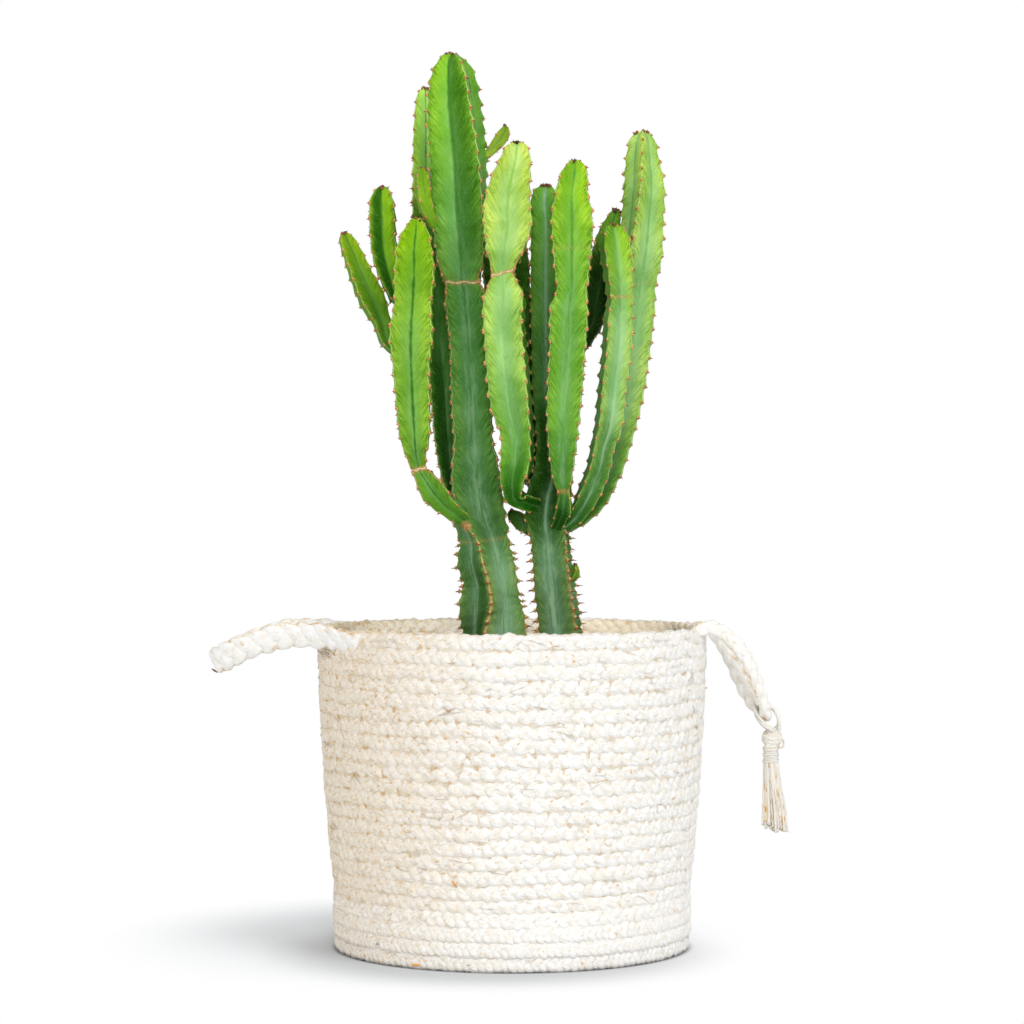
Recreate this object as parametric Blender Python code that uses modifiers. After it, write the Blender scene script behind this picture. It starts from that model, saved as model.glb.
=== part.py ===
"""Potted euphorbia: ribbed stems in a nursery pot that stands in a braided basket.

Frame: metres, +Z up, origin on the floor under the centre of the basket.
The front of the plant faces -Y, and the tassel hangs from the handle at +X.
"""

import math

import bmesh
import bpy
from mathutils import Vector

GAP = 0.0003                # left between pieces that touch
STEM_GAP = 0.0004           # how much thicker a stem's clearance is, measured from its axis

# Basket: an upturned base and a wall that widens towards the rim
TURN_STEPS = 48
BRAID_THICKNESS = 0.008
BASKET_HEIGHT = 0.205
BASE_HEIGHT = 0.036
BASE_RADIUS = 0.1155
BASE_CORNER = 0.010
WALL_FOOT_RADIUS = 0.1146
WALL_RIM_RADIUS = 0.1253
WALL_BULGE = 1.8            # 1 is a straight cone, more bulges the wall
WALL_LEVELS = 8
RIM_ROUNDING = 0.003

# Nursery pot and its soil
POT_HEIGHT = 0.170
POT_TOP_RADIUS = 0.094
POT_FOOT_RADIUS = 0.070
POT_WALL = 0.0018
POT_LIP_HEIGHT = 0.012
POT_LIP_DEPTH = 0.003
POT_FOOT_RISE = 0.004
DRAIN_COUNT = 6
DRAIN_RADIUS = 0.006
DRAIN_CIRCLE = 0.045
SOIL_DEPTH_BELOW_LIP = 0.014
SOIL_MOUND = 0.004

# Carrying handles: flat braids bent to a loop, sewn on outside the rim
STRAP_WIDTH = 0.018
STRAP_THICKNESS = 0.008
HANGING_WIDTH = 0.012
HANGING_THICKNESS = 0.009

# Tassel
TASSEL_X = 0.1665
TIE_HALF_WIDTH = 0.0072
TIE_HALF_HEIGHT = 0.0093
TIE_CORD = 0.0012
TIE_CENTRE_Z = 0.1460
KNOT_RADIUS = 0.0060
KNOT_TOP_Z = 0.1352
KNOT_FOOT_Z = 0.1240
BINDING_RADIUS = 0.0056
BINDING_FOOT_Z = 0.1170
NECK_RADIUS = 0.0036
FRINGE_FOOT_Z = 0.0740
FRINGE_RADIUS = 0.0080

# Stems: each has stations (x, y, z, rib radius, turn), in metres and degrees.
# The turn is the angle of the first rib from -Y, counted towards +X.
RING_SPACING = 0.013
VALLEY_DEPTH = 0.66         # valley radius over rib radius
NECK_ROUNDING = 0.0075      # stems thinner than this have nearly round sections
TIP_RISE = 0.001            # height of the growing tip above the last station
EVEN_RIBS = (0, 90, 180, 270)
TRUNK_RIBS = (0, 125, 192, 277)

STEMS = {
    "left_main_stem": {
        "colour": "old", "ribs": EVEN_RIBS, "grows_from": (),
        "stations": (
            (-0.005, 0.000, 0.130, 0.0210, -20),
            (-0.008, 0.000, 0.165, 0.0218, -20),
            (-0.011, 0.000, 0.199, 0.0216, -18),
            (-0.014, 0.000, 0.219, 0.0204, 2),
            (-0.014, 0.000, 0.233, 0.0178, -3),
            (-0.017, 0.000, 0.248, 0.0187, -6),
            (-0.018, 0.000, 0.261, 0.0165, -14),
            (-0.021, 0.000, 0.277, 0.0200, -34),
            (-0.023, 0.000, 0.293, 0.0220, -42),
            (-0.024, 0.000, 0.312, 0.0200, -45),
            (-0.025, 0.000, 0.326, 0.0170, -45),
            (-0.026, 0.000, 0.352, 0.0180, -45),
            (-0.028, 0.000, 0.386, 0.0162, -45),
            (-0.030, 0.000, 0.416, 0.0180, -45),
            (-0.032, 0.000, 0.427, 0.0150, -45),
            (-0.033, 0.000, 0.441, 0.0205, -45),
            (-0.034, 0.000, 0.468, 0.0226, -48),
            (-0.035, 0.000, 0.507, 0.0226, -54),
            (-0.037, 0.000, 0.539, 0.0200, -60),
            (-0.038, 0.000, 0.561, 0.0160, -62),
            (-0.039, 0.000, 0.571, 0.0097, -62),
            (-0.039, 0.000, 0.575, 0.0030, -62),
        ),
    },
    "left_back_stem": {
        "colour": "old", "ribs": EVEN_RIBS, "grows_from": ("left_main_stem",),
        "stations": (
            (-0.022, 0.002, 0.266, 0.0040, -45),
            (-0.034, 0.017, 0.283, 0.0060, -45),
            (-0.039, 0.026, 0.303, 0.0098, -45),
            (-0.042, 0.030, 0.333, 0.0125, -45),
            (-0.047, 0.031, 0.399, 0.0125, -45),
            (-0.054, 0.031, 0.458, 0.0112, -45),
            (-0.055, 0.031, 0.497, 0.0105, -45),
            (-0.055, 0.030, 0.536, 0.0092, -45),
            (-0.056, 0.030, 0.552, 0.0066, -45),
            (-0.056, 0.030, 0.557, 0.0026, -45),
        ),
    },
    "front_left_branch": {
        "colour": "bright", "ribs": EVEN_RIBS, "grows_from": ("left_main_stem",),
        "stations": (
            (-0.021, -0.004, 0.269, 0.0045, -45),
            (-0.032, -0.014, 0.275, 0.0058, -45),
            (-0.041, -0.020, 0.282, 0.0077, -45),
            (-0.050, -0.022, 0.292, 0.0108, -45),
            (-0.056, -0.023, 0.301, 0.0083, -45),
            (-0.059, -0.024, 0.306, 0.0061, -45),
            (-0.061, -0.025, 0.316, 0.0089, -45),
            (-0.062, -0.026, 0.332, 0.0134, -45),
            (-0.064, -0.026, 0.372, 0.0159, -45),
            (-0.064, -0.026, 0.392, 0.0186, -45),
            (-0.063, -0.026, 0.411, 0.0159, -45),
            (-0.062, -0.026, 0.430, 0.0172, -45),
            (-0.062, -0.026, 0.446, 0.0153, -45),
            (-0.061, -0.026, 0.458, 0.0108, -45),
            (-0.061, -0.026, 0.466, 0.0030, -45),
        ),
    },
    "far_left_branch": {
        "colour": "bright", "ribs": EVEN_RIBS, "grows_from": ("front_left_branch",),
        "stations": (
            (-0.069, -0.020, 0.381, 0.0030, -35),
            (-0.076, -0.013, 0.384, 0.0040, -35),
            (-0.081, -0.007, 0.391, 0.0058, -35),
            (-0.084, -0.004, 0.402, 0.0072, -35),
            (-0.090, -0.002, 0.416, 0.0105, -35),
            (-0.097, -0.001, 0.431, 0.0093, -35),
            (-0.103, -0.001, 0.446, 0.0077, -35),
            (-0.107, -0.001, 0.455, 0.0058, -35),
            (-0.108, -0.001, 0.459, 0.0022, -35),
        ),
    },
    "upper_left_branch": {
        "colour": "bright", "ribs": EVEN_RIBS, "grows_from": ("front_left_branch",),
        "stations": (
            (-0.069, -0.020, 0.411, 0.0026, -45),
            (-0.073, -0.011, 0.415, 0.0040, -45),
            (-0.076, -0.003, 0.422, 0.0070, -45),
            (-0.080, 0.001, 0.437, 0.0105, -45),
            (-0.083, 0.002, 0.453, 0.0109, -45),
            (-0.084, 0.002, 0.476, 0.0109, -45),
            (-0.084, 0.002, 0.485, 0.0077, -45),
            (-0.084, 0.002, 0.489, 0.0026, -45),
        ),
    },
    "left_shoot": {
        "colour": "bright", "ribs": EVEN_RIBS, "grows_from": ("left_main_stem",),
        "stations": (
            (-0.046, -0.010, 0.460, 0.0022, -30),
            (-0.051, -0.015, 0.464, 0.0032, -30),
            (-0.055, -0.018, 0.474, 0.0050, -30),
            (-0.057, -0.019, 0.485, 0.0054, -30),
            (-0.058, -0.019, 0.494, 0.0046, -30),
            (-0.058, -0.019, 0.499, 0.0018, -30),
        ),
    },
    "right_shoot": {
        "colour": "bright", "ribs": EVEN_RIBS, "grows_from": ("left_main_stem",),
        "stations": (
            (-0.023, 0.008, 0.507, 0.0020, -45),
            (-0.017, 0.013, 0.511, 0.0026, -45),
            (-0.013, 0.014, 0.515, 0.0033, -45),
            (-0.008, 0.014, 0.521, 0.0050, -45),
            (-0.005, 0.014, 0.526, 0.0044, -45),
            (-0.004, 0.014, 0.530, 0.0018, -45),
        ),
    },
    "right_main_stem": {
        "colour": "old", "ribs": TRUNK_RIBS, "grows_from": (),
        "stations": (
            (0.035, 0.000, 0.132, 0.0145, -82),
            (0.033, 0.000, 0.175, 0.0147, -82),
            (0.031, 0.000, 0.207, 0.0143, -82),
            (0.028, 0.000, 0.229, 0.0139, -82),
            (0.025, 0.000, 0.261, 0.0132, -80),
            (0.024, 0.001, 0.274, 0.0142, -74),
            (0.025, 0.004, 0.287, 0.0147, -68),
            (0.027, 0.010, 0.303, 0.0134, -64),
            (0.026, 0.016, 0.326, 0.0112, -62),
            (0.023, 0.021, 0.360, 0.0110, -62),
            (0.022, 0.022, 0.418, 0.0110, -62),
            (0.022, 0.022, 0.463, 0.0110, -62),
            (0.021, 0.022, 0.483, 0.0098, -62),
            (0.022, 0.022, 0.490, 0.0059, -62),
            (0.022, 0.022, 0.493, 0.0022, -62),
        ),
    },
    "trunk_bud": {
        "colour": "bright", "ribs": EVEN_RIBS, "grows_from": ("right_main_stem",),
        "stations": (
            (0.034, 0.002, 0.233, 0.0016, 0),
            (0.039, 0.003, 0.236, 0.0025, 0),
            (0.041, 0.003, 0.240, 0.0029, 0),
            (0.041, 0.003, 0.245, 0.0013, 0),
        ),
    },
    "low_stub": {
        "colour": "old", "ribs": EVEN_RIBS, "grows_from": ("right_main_stem",),
        "stations": (
            (0.022, 0.001, 0.265, 0.0045, -45),
            (0.015, 0.003, 0.267, 0.0058, -45),
            (0.007, 0.004, 0.272, 0.0071, -45),
            (0.001, 0.005, 0.277, 0.0052, -45),
            (-0.001, 0.005, 0.280, 0.0020, -45),
        ),
    },
    "centre_branch": {
        "colour": "bright", "ribs": EVEN_RIBS, "grows_from": ("right_main_stem", "low_stub"),
        "stations": (
            (0.020, -0.003, 0.277, 0.0040, -52),
            (0.013, -0.012, 0.280, 0.0045, -52),
            (0.006, -0.020, 0.284, 0.0046, -52),
            (0.001, -0.026, 0.289, 0.0060, -52),
            (0.002, -0.028, 0.301, 0.0102, -52),
            (0.003, -0.029, 0.312, 0.0130, -52),
            (0.003, -0.029, 0.330, 0.0130, -52),
            (-0.001, -0.029, 0.352, 0.0168, -52),
            (-0.005, -0.029, 0.397, 0.0166, -50),
            (-0.005, -0.029, 0.416, 0.0168, -48),
            (-0.006, -0.029, 0.431, 0.0096, -45),
            (-0.005, -0.029, 0.444, 0.0153, -45),
            (-0.003, -0.029, 0.460, 0.0206, -45),
            (-0.003, -0.029, 0.473, 0.0204, -45),
            (-0.001, -0.029, 0.488, 0.0172, -45),
            (0.002, -0.029, 0.501, 0.0136, -45),
            (0.003, -0.029, 0.510, 0.0100, -45),
            (0.003, -0.029, 0.514, 0.0034, -45),
        ),
    },
    "centre_back_branch": {
        "colour": "old", "ribs": EVEN_RIBS, "grows_from": ("right_main_stem",),
        "stations": (
            (0.023, 0.006, 0.282, 0.0045, -45),
            (0.018, 0.019, 0.294, 0.0078, -45),
            (0.011, 0.030, 0.316, 0.0125, -45),
            (0.003, 0.036, 0.353, 0.0158, -45),
            (0.000, 0.038, 0.392, 0.0184, -45),
            (-0.003, 0.038, 0.425, 0.0204, -45),
            (-0.004, 0.038, 0.444, 0.0204, -45),
            (-0.005, 0.038, 0.457, 0.0165, -45),
            (-0.005, 0.038, 0.465, 0.0086, -45),
            (-0.005, 0.038, 0.469, 0.0026, -45),
        ),
    },
    "outer_right_branch": {
        "colour": "bright", "ribs": EVEN_RIBS, "grows_from": ("right_main_stem",),
        "stations": (
            (0.026, 0.003, 0.266, 0.0045, -45),
            (0.035, 0.008, 0.270, 0.0055, -45),
            (0.044, 0.011, 0.276, 0.0078, -45),
            (0.053, 0.014, 0.287, 0.0111, -45),
            (0.059, 0.015, 0.300, 0.0124, -45),
            (0.064, 0.016, 0.314, 0.0137, -45),
            (0.073, 0.017, 0.352, 0.0156, -45),
            (0.077, 0.017, 0.383, 0.0163, -43),
            (0.079, 0.017, 0.409, 0.0160, -34),
            (0.080, 0.017, 0.427, 0.0145, -22),
            (0.083, 0.017, 0.447, 0.0158, -22),
            (0.085, 0.017, 0.469, 0.0143, -18),
            (0.086, 0.017, 0.489, 0.0137, -12),
            (0.085, 0.017, 0.508, 0.0111, -4),
            (0.085, 0.017, 0.521, 0.0085, 0),
            (0.085, 0.017, 0.527, 0.0026, 0),
        ),
    },
    "front_right_branch": {
        "colour": "bright", "ribs": EVEN_RIBS, "grows_from": ("right_main_stem",),
        "stations": (
            (0.028, -0.003, 0.268, 0.0042, -45),
            (0.031, -0.012, 0.275, 0.0051, -45),
            (0.033, -0.020, 0.283, 0.0066, -45),
            (0.033, -0.024, 0.292, 0.0046, -45),
            (0.032, -0.025, 0.301, 0.0083, -45),
            (0.032, -0.025, 0.325, 0.0128, -45),
            (0.033, -0.025, 0.351, 0.0150, -45),
            (0.035, -0.025, 0.383, 0.0156, -45),
            (0.036, -0.025, 0.406, 0.0166, -45),
            (0.038, -0.025, 0.420, 0.0131, -45),
            (0.038, -0.025, 0.434, 0.0153, -45),
            (0.038, -0.025, 0.464, 0.0179, -45),
            (0.038, -0.025, 0.482, 0.0140, -45),
            (0.040, -0.025, 0.496, 0.0108, -45),
            (0.040, -0.025, 0.503, 0.0034, -45),
        ),
    },
    "inner_right_branch": {
        "colour": "bright", "ribs": EVEN_RIBS,
        "grows_from": ("right_main_stem", "outer_right_branch", "front_right_branch"),
        "stations": (
            (0.026, -0.002, 0.266, 0.0042, -35),
            (0.035, -0.007, 0.271, 0.0051, -35),
            (0.043, -0.010, 0.280, 0.0071, -35),
            (0.049, -0.012, 0.291, 0.0087, -35),
            (0.055, -0.013, 0.306, 0.0090, -35),
            (0.058, -0.014, 0.321, 0.0090, -35),
            (0.062, -0.015, 0.336, 0.0105, -35),
            (0.064, -0.015, 0.358, 0.0106, -35),
            (0.067, -0.015, 0.382, 0.0112, -35),
            (0.068, -0.015, 0.404, 0.0108, -35),
            (0.069, -0.015, 0.417, 0.0098, -35),
            (0.066, -0.015, 0.449, 0.0115, -35),
            (0.065, -0.015, 0.459, 0.0087, -35),
            (0.065, -0.015, 0.463, 0.0030, -35),
        ),
    },
    "back_right_branch": {
        "colour": "old", "ribs": EVEN_RIBS, "grows_from": ("right_main_stem",),
        "stations": (
            (0.024, 0.023, 0.371, 0.0033, -45),
            (0.033, 0.027, 0.377, 0.0046, -45),
            (0.043, 0.033, 0.386, 0.0059, -45),
            (0.050, 0.037, 0.397, 0.0079, -45),
            (0.055, 0.039, 0.411, 0.0108, -45),
            (0.057, 0.040, 0.426, 0.0120, -45),
            (0.061, 0.040, 0.448, 0.0115, -45),
            (0.064, 0.040, 0.463, 0.0092, -45),
            (0.068, 0.040, 0.475, 0.0046, -45),
            (0.069, 0.040, 0.478, 0.0020, -45),
        ),
    },
}

# Handle routes (x, y, z), from the front seam round the loop to the back seam
RESTING_HANDLE = (
    (-0.1034, -0.0793, 0.1930),
    (-0.1172, -0.0580, 0.1985),
    (-0.1330, -0.0440, 0.2020),
    (-0.1520, -0.0360, 0.1995),
    (-0.1720, -0.0260, 0.1925),
    (-0.1860, -0.0130, 0.1855),
    (-0.1905, 0.0000, 0.1835),
    (-0.1860, 0.0130, 0.1855),
    (-0.1720, 0.0260, 0.1925),
    (-0.1520, 0.0360, 0.1995),
    (-0.1330, 0.0440, 0.2020),
    (-0.1172, 0.0580, 0.1985),
    (-0.1034, 0.0793, 0.1930),
)
HANGING_HANDLE = (
    (0.1134, -0.0643, 0.1960),
    (0.1240, -0.0450, 0.1995),
    (0.1385, -0.0340, 0.1985),
    (0.1500, -0.0280, 0.1860),
    (0.1590, -0.0210, 0.1690),
    (0.1650, -0.0110, 0.1520),
    (0.1665, 0.0000, 0.1475),
    (0.1620, 0.0110, 0.1500),
    (0.1530, 0.0220, 0.1650),
    (0.1430, 0.0300, 0.1820),
    (0.1345, 0.0360, 0.1930),
    (0.1240, 0.0450, 0.1975),
    (0.1134, 0.0643, 0.1960),
)

COLOURS = {
    "braid": ((0.88, 0.84, 0.76), 0.85),
    "plastic": ((0.05, 0.045, 0.04), 0.45),
    "soil": ((0.07, 0.045, 0.03), 0.95),
    "old": ((0.08, 0.22, 0.06), 0.45),
    "bright": ((0.24, 0.48, 0.08), 0.42),
    "twine": ((0.86, 0.80, 0.68), 0.85),
}


def clear_scene():
    for item in list(bpy.data.objects):
        bpy.data.objects.remove(item, do_unlink=True)


def new_collection(name):
    collection = bpy.data.collections.new(name)
    bpy.context.scene.collection.children.link(collection)
    return collection


def make_material(name, key):
    colour, roughness = COLOURS[key]
    material = bpy.data.materials.new(name)
    material.use_nodes = True
    shader = material.node_tree.nodes["Principled BSDF"]
    shader.inputs["Base Color"].default_value = (*colour, 1.0)
    shader.inputs["Roughness"].default_value = roughness
    shader.inputs["Metallic"].default_value = 0.0
    return material


def add_object(name, mesh, collection, key):
    item = bpy.data.objects.new(name, mesh)
    item.data.materials.append(make_material(name + "_material", key))
    collection.objects.link(item)
    return item


def hide_as_cutter(item):
    item.hide_render = True
    item.display_type = "WIRE"


def smooth(item, angle=40):
    item.data.shade_smooth()
    item.data.set_sharp_from_angle(angle=math.radians(angle))


def turned(name, outline, collection, key, closed=False, centre=(0.0, 0.0)):
    """A solid turned about an upright axis from (radius, height) points.

    The outline ends on the axis at both ends, or is closed and stays clear of it.
    """
    mesh = bpy.data.meshes.new(name)
    points = [(radius, 0.0, height) for radius, height in outline]
    edges = [(i, i + 1) for i in range(len(points) - 1)]
    if closed:
        edges.append((len(points) - 1, 0))
    mesh.from_pydata(points, edges, [])
    item = add_object(name, mesh, collection, key)
    item.location = (centre[0], centre[1], 0.0)
    screw = item.modifiers.new("turn", "SCREW")
    screw.angle = math.tau
    screw.steps = TURN_STEPS
    screw.render_steps = TURN_STEPS
    screw.use_merge_vertices = True
    screw.merge_threshold = 0.00001
    screw.use_smooth_shade = True
    return item


def cut(item, cutter):
    boolean = item.modifiers.new("cut_" + cutter.name, "BOOLEAN")
    boolean.operation = "DIFFERENCE"
    boolean.solver = "EXACT"
    boolean.object = cutter


def wall_radius(height):
    """Outer radius of the basket wall at a height."""
    share = (height - BASE_HEIGHT) / (BASKET_HEIGHT - BASE_HEIGHT)
    swell = 1.0 - (1.0 - share) ** WALL_BULGE
    return WALL_FOOT_RADIUS + (WALL_RIM_RADIUS - WALL_FOOT_RADIUS) * swell


def make_basket_base(parts):
    inner = BASE_RADIUS - BRAID_THICKNESS
    outline = [
        (0.0, BRAID_THICKNESS),
        (inner - BASE_CORNER / 2, BRAID_THICKNESS),
        (inner, BRAID_THICKNESS + BASE_CORNER / 2),
        (inner, BASE_HEIGHT),
        (BASE_RADIUS, BASE_HEIGHT),
        (BASE_RADIUS, BASE_CORNER),
        (BASE_RADIUS - BASE_CORNER * 0.3, BASE_CORNER * 0.3),
        (BASE_RADIUS - BASE_CORNER, 0.0),
        (0.0, 0.0),
    ]
    turned("basket_base", outline, parts, "braid")


def make_basket_wall(parts):
    foot = BASE_HEIGHT + GAP
    top = BASKET_HEIGHT
    shoulder = top - RIM_ROUNDING
    heights = [foot + (shoulder - foot) * i / WALL_LEVELS for i in range(WALL_LEVELS + 1)]
    inside = [(wall_radius(z) - BRAID_THICKNESS, z) for z in heights]
    outside = [(wall_radius(z), z) for z in reversed(heights)]
    rim = [
        (inside[-1][0] + RIM_ROUNDING, top),
        (outside[0][0] - RIM_ROUNDING, top),
    ]
    turned("basket_wall", inside + rim + outside, parts, "braid", closed=True)


def pot_radius(height, foot):
    """Outer radius of the pot's wall at a height."""
    share = (height - foot) / POT_HEIGHT
    return POT_FOOT_RADIUS + (POT_TOP_RADIUS - POT_LIP_DEPTH - POT_FOOT_RADIUS) * share


def make_pot(parts, cutters):
    foot = BRAID_THICKNESS + GAP
    top = foot + POT_HEIGHT
    floor = foot + POT_FOOT_RISE + POT_WALL
    lip_foot = top - POT_LIP_HEIGHT
    foot_inner = POT_FOOT_RADIUS - POT_FOOT_RISE
    outline = [
        (0.0, floor),
        (pot_radius(floor, foot) - POT_WALL, floor),
        (pot_radius(lip_foot, foot) - POT_WALL, lip_foot),
        (POT_TOP_RADIUS - POT_WALL, lip_foot + POT_WALL),
        (POT_TOP_RADIUS - POT_WALL, top),
        (POT_TOP_RADIUS, top),
        (POT_TOP_RADIUS, lip_foot),
        (pot_radius(lip_foot, foot), lip_foot),
        (POT_FOOT_RADIUS, foot),
        (foot_inner, foot),
        (foot_inner, foot + POT_FOOT_RISE),
        (0.0, foot + POT_FOOT_RISE),
    ]
    pot = turned("nursery_pot", outline, parts, "plastic")
    mesh = bpy.data.meshes.new("drain_holes")
    drill = bmesh.new()
    for i in range(DRAIN_COUNT):
        angle = math.tau * i / DRAIN_COUNT
        hole = bmesh.ops.create_cone(
            drill, cap_ends=True, segments=12,
            radius1=DRAIN_RADIUS, radius2=DRAIN_RADIUS, depth=POT_FOOT_RISE + 2 * POT_WALL,
        )
        place = Vector((math.cos(angle) * DRAIN_CIRCLE, math.sin(angle) * DRAIN_CIRCLE, floor))
        bmesh.ops.translate(drill, verts=hole["verts"], vec=place)
    drill.to_mesh(mesh)
    drill.free()
    drains = add_object("drain_holes", mesh, cutters, "plastic")
    hide_as_cutter(drains)
    cut(pot, drains)


def make_soil(parts, trunk_cutters):
    foot = BRAID_THICKNESS + GAP
    floor = foot + POT_FOOT_RISE + POT_WALL + GAP
    surface = foot + POT_HEIGHT - SOIL_DEPTH_BELOW_LIP
    reach = POT_WALL + 2 * GAP
    low = pot_radius(floor, foot) - reach
    high = pot_radius(surface, foot) - reach
    outline = [
        (0.0, surface + SOIL_MOUND),
        (high * 0.6, surface + SOIL_MOUND * 0.6),
        (high, surface),
        (low, floor),
        (0.0, floor),
    ]
    soil = turned("soil", outline, parts, "soil")
    for cutter in trunk_cutters:
        cut(soil, cutter)


def blend(values, share):
    """Catmull-Rom value between the middle two of four equal-spaced values."""
    before, start, end, after = values
    return 0.5 * (
        2 * start
        + (end - before) * share
        + (2 * before - 5 * start + 4 * end - after) * share ** 2
        + (3 * start - before - 3 * end + after) * share ** 3
    )


def smooth_route(stations, spacing):
    """Points along a smooth curve through the stations, ends included."""
    last = len(stations) - 1
    route = []
    for i in range(last):
        near = [stations[max(i - 1, 0)], stations[i], stations[i + 1], stations[min(i + 2, last)]]
        length = (Vector(stations[i + 1][:3]) - Vector(stations[i][:3])).length
        count = max(1, round(length / spacing))
        for step in range(count):
            route.append([blend(values, step / count) for values in zip(*near)])
    route.append(list(stations[last]))
    return route


def section(rib_angles, radius):
    """Angles round a section with their radii: each rib, then the valley after it."""
    ribbed = min(1.0, radius / NECK_ROUNDING) ** 2
    valley = radius * (1.0 - (1.0 - VALLEY_DEPTH) * ribbed)
    corners = []
    for i, rib in enumerate(rib_angles):
        width = (rib_angles[(i + 1) % len(rib_angles)] - rib) % 360
        corners.append((rib, radius))
        corners.append((rib + width / 2, valley))
    return corners


def stem_mesh(name, stem, grow=0.0):
    """A loft through ribbed sections that stand square to the stem's route."""
    route = smooth_route(stem["stations"], RING_SPACING)
    centres = [Vector(point[:3]) for point in route]
    centres[0] -= (centres[1] - centres[0]).normalized() * grow
    build = bmesh.new()
    rings = []
    for i, centre in enumerate(centres):
        along = centres[min(i + 1, len(centres) - 1)] - centres[max(i - 1, 0)]
        along.normalize()
        front = Vector((0.0, -1.0, 0.0))
        front = (front - along * front.dot(along)).normalized()
        side = along.cross(front)
        radius, turn = route[i][3], route[i][4]
        ring = []
        for angle, reach in section(stem["ribs"], radius):
            heading = math.radians(angle + turn)
            outward = side * math.sin(heading) + front * math.cos(heading)
            ring.append(build.verts.new(centre + outward * (reach + grow)))
        rings.append(ring)
    for lower, upper in zip(rings, rings[1:]):
        for i in range(len(lower)):
            j = (i + 1) % len(lower)
            build.faces.new((lower[i], lower[j], upper[j]))
            build.faces.new((lower[i], upper[j], upper[i]))
    close_end(build, rings[0], centres[0], True)
    close_end(build, rings[-1], centres[-1] + Vector((0.0, 0.0, TIP_RISE + grow)), False)
    mesh = bpy.data.meshes.new(name)
    build.to_mesh(mesh)
    build.free()
    return mesh


def close_end(build, ring, point, is_start):
    """A fan of faces from the end ring to a point."""
    tip = build.verts.new(point)
    for i in range(len(ring)):
        j = (i + 1) % len(ring)
        corners = (ring[j], ring[i], tip) if is_start else (ring[i], ring[j], tip)
        build.faces.new(corners)


def make_stems(parts, cutters):
    """Every stem, each seated against the ones it grows from. Returns the cutters."""
    grown = {}
    for name, stem in STEMS.items():
        item = add_object(name, stem_mesh(name, stem), parts, stem["colour"])
        smooth(item, 50)
        wider = stem_mesh(name, stem, STEM_GAP)
        clearance = add_object(name + "_clearance", wider, cutters, stem["colour"])
        hide_as_cutter(clearance)
        grown[name] = clearance
        for parent in stem["grows_from"]:
            cut(item, grown[parent])
    return grown


def to_mesh_object(curve_item, collection, key):
    """The curve's evaluated shape as a mesh object with welded caps."""
    depsgraph = bpy.context.evaluated_depsgraph_get()
    mesh = bpy.data.meshes.new_from_object(curve_item.evaluated_get(depsgraph))
    weld = bmesh.new()
    weld.from_mesh(mesh)
    bmesh.ops.remove_doubles(weld, verts=weld.verts, dist=0.00001)
    bmesh.ops.recalc_face_normals(weld, faces=weld.faces)
    weld.to_mesh(mesh)
    weld.free()
    name = curve_item.name
    place = curve_item.matrix_world.copy()
    curve_item.name = name + "_curve"
    item = add_object(name, mesh, collection, key)
    item.matrix_world = place
    bpy.data.objects.remove(curve_item, do_unlink=True)
    return item


def oval_profile(name, width, thickness, cutters):
    """A flat oval outline: width along Y, thickness along X."""
    curve = bpy.data.curves.new(name, "CURVE")
    curve.dimensions = "2D"
    corners = 10
    spline = curve.splines.new("POLY")
    spline.points.add(corners - 1)
    for i in range(corners):
        angle = math.tau * i / corners
        x = math.cos(angle) * thickness / 2
        y = math.sin(angle) * width / 2
        spline.points[i].co = (x, y, 0.0, 1.0)
    spline.use_cyclic_u = True
    item = bpy.data.objects.new(name, curve)
    cutters.objects.link(item)
    hide_as_cutter(item)
    return item


def make_strap(name, stations, width, thickness, parts, cutters):
    """A flat strap along a smooth route, its width kept upright."""
    profile = oval_profile(name + "_profile", width, thickness, cutters)
    curve = bpy.data.curves.new(name, "CURVE")
    curve.dimensions = "3D"
    curve.twist_mode = "Z_UP"
    curve.bevel_mode = "OBJECT"
    curve.bevel_object = profile
    curve.use_fill_caps = True
    route = smooth_route(stations, width * 0.6)
    spline = curve.splines.new("POLY")
    spline.points.add(len(route) - 1)
    for point, place in zip(spline.points, route):
        point.co = (*place, 1.0)
    item = bpy.data.objects.new(name, curve)
    parts.objects.link(item)
    strap = to_mesh_object(item, parts, "braid")
    smooth(strap)


def make_tassel_tie(parts):
    """The loop of cord that holds the tassel to the hanging handle."""
    curve = bpy.data.curves.new("tassel_tie", "CURVE")
    curve.dimensions = "3D"
    curve.bevel_depth = TIE_CORD
    curve.bevel_resolution = 2
    corners = 24
    spline = curve.splines.new("POLY")
    spline.points.add(corners - 1)
    for i in range(corners):
        angle = math.tau * i / corners
        x = TASSEL_X + math.cos(angle) * TIE_HALF_WIDTH
        z = TIE_CENTRE_Z + math.sin(angle) * TIE_HALF_HEIGHT
        spline.points[i].co = (x, 0.0, z, 1.0)
    spline.use_cyclic_u = True
    item = bpy.data.objects.new("tassel_tie", curve)
    parts.objects.link(item)
    smooth(to_mesh_object(item, parts, "twine"))


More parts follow.
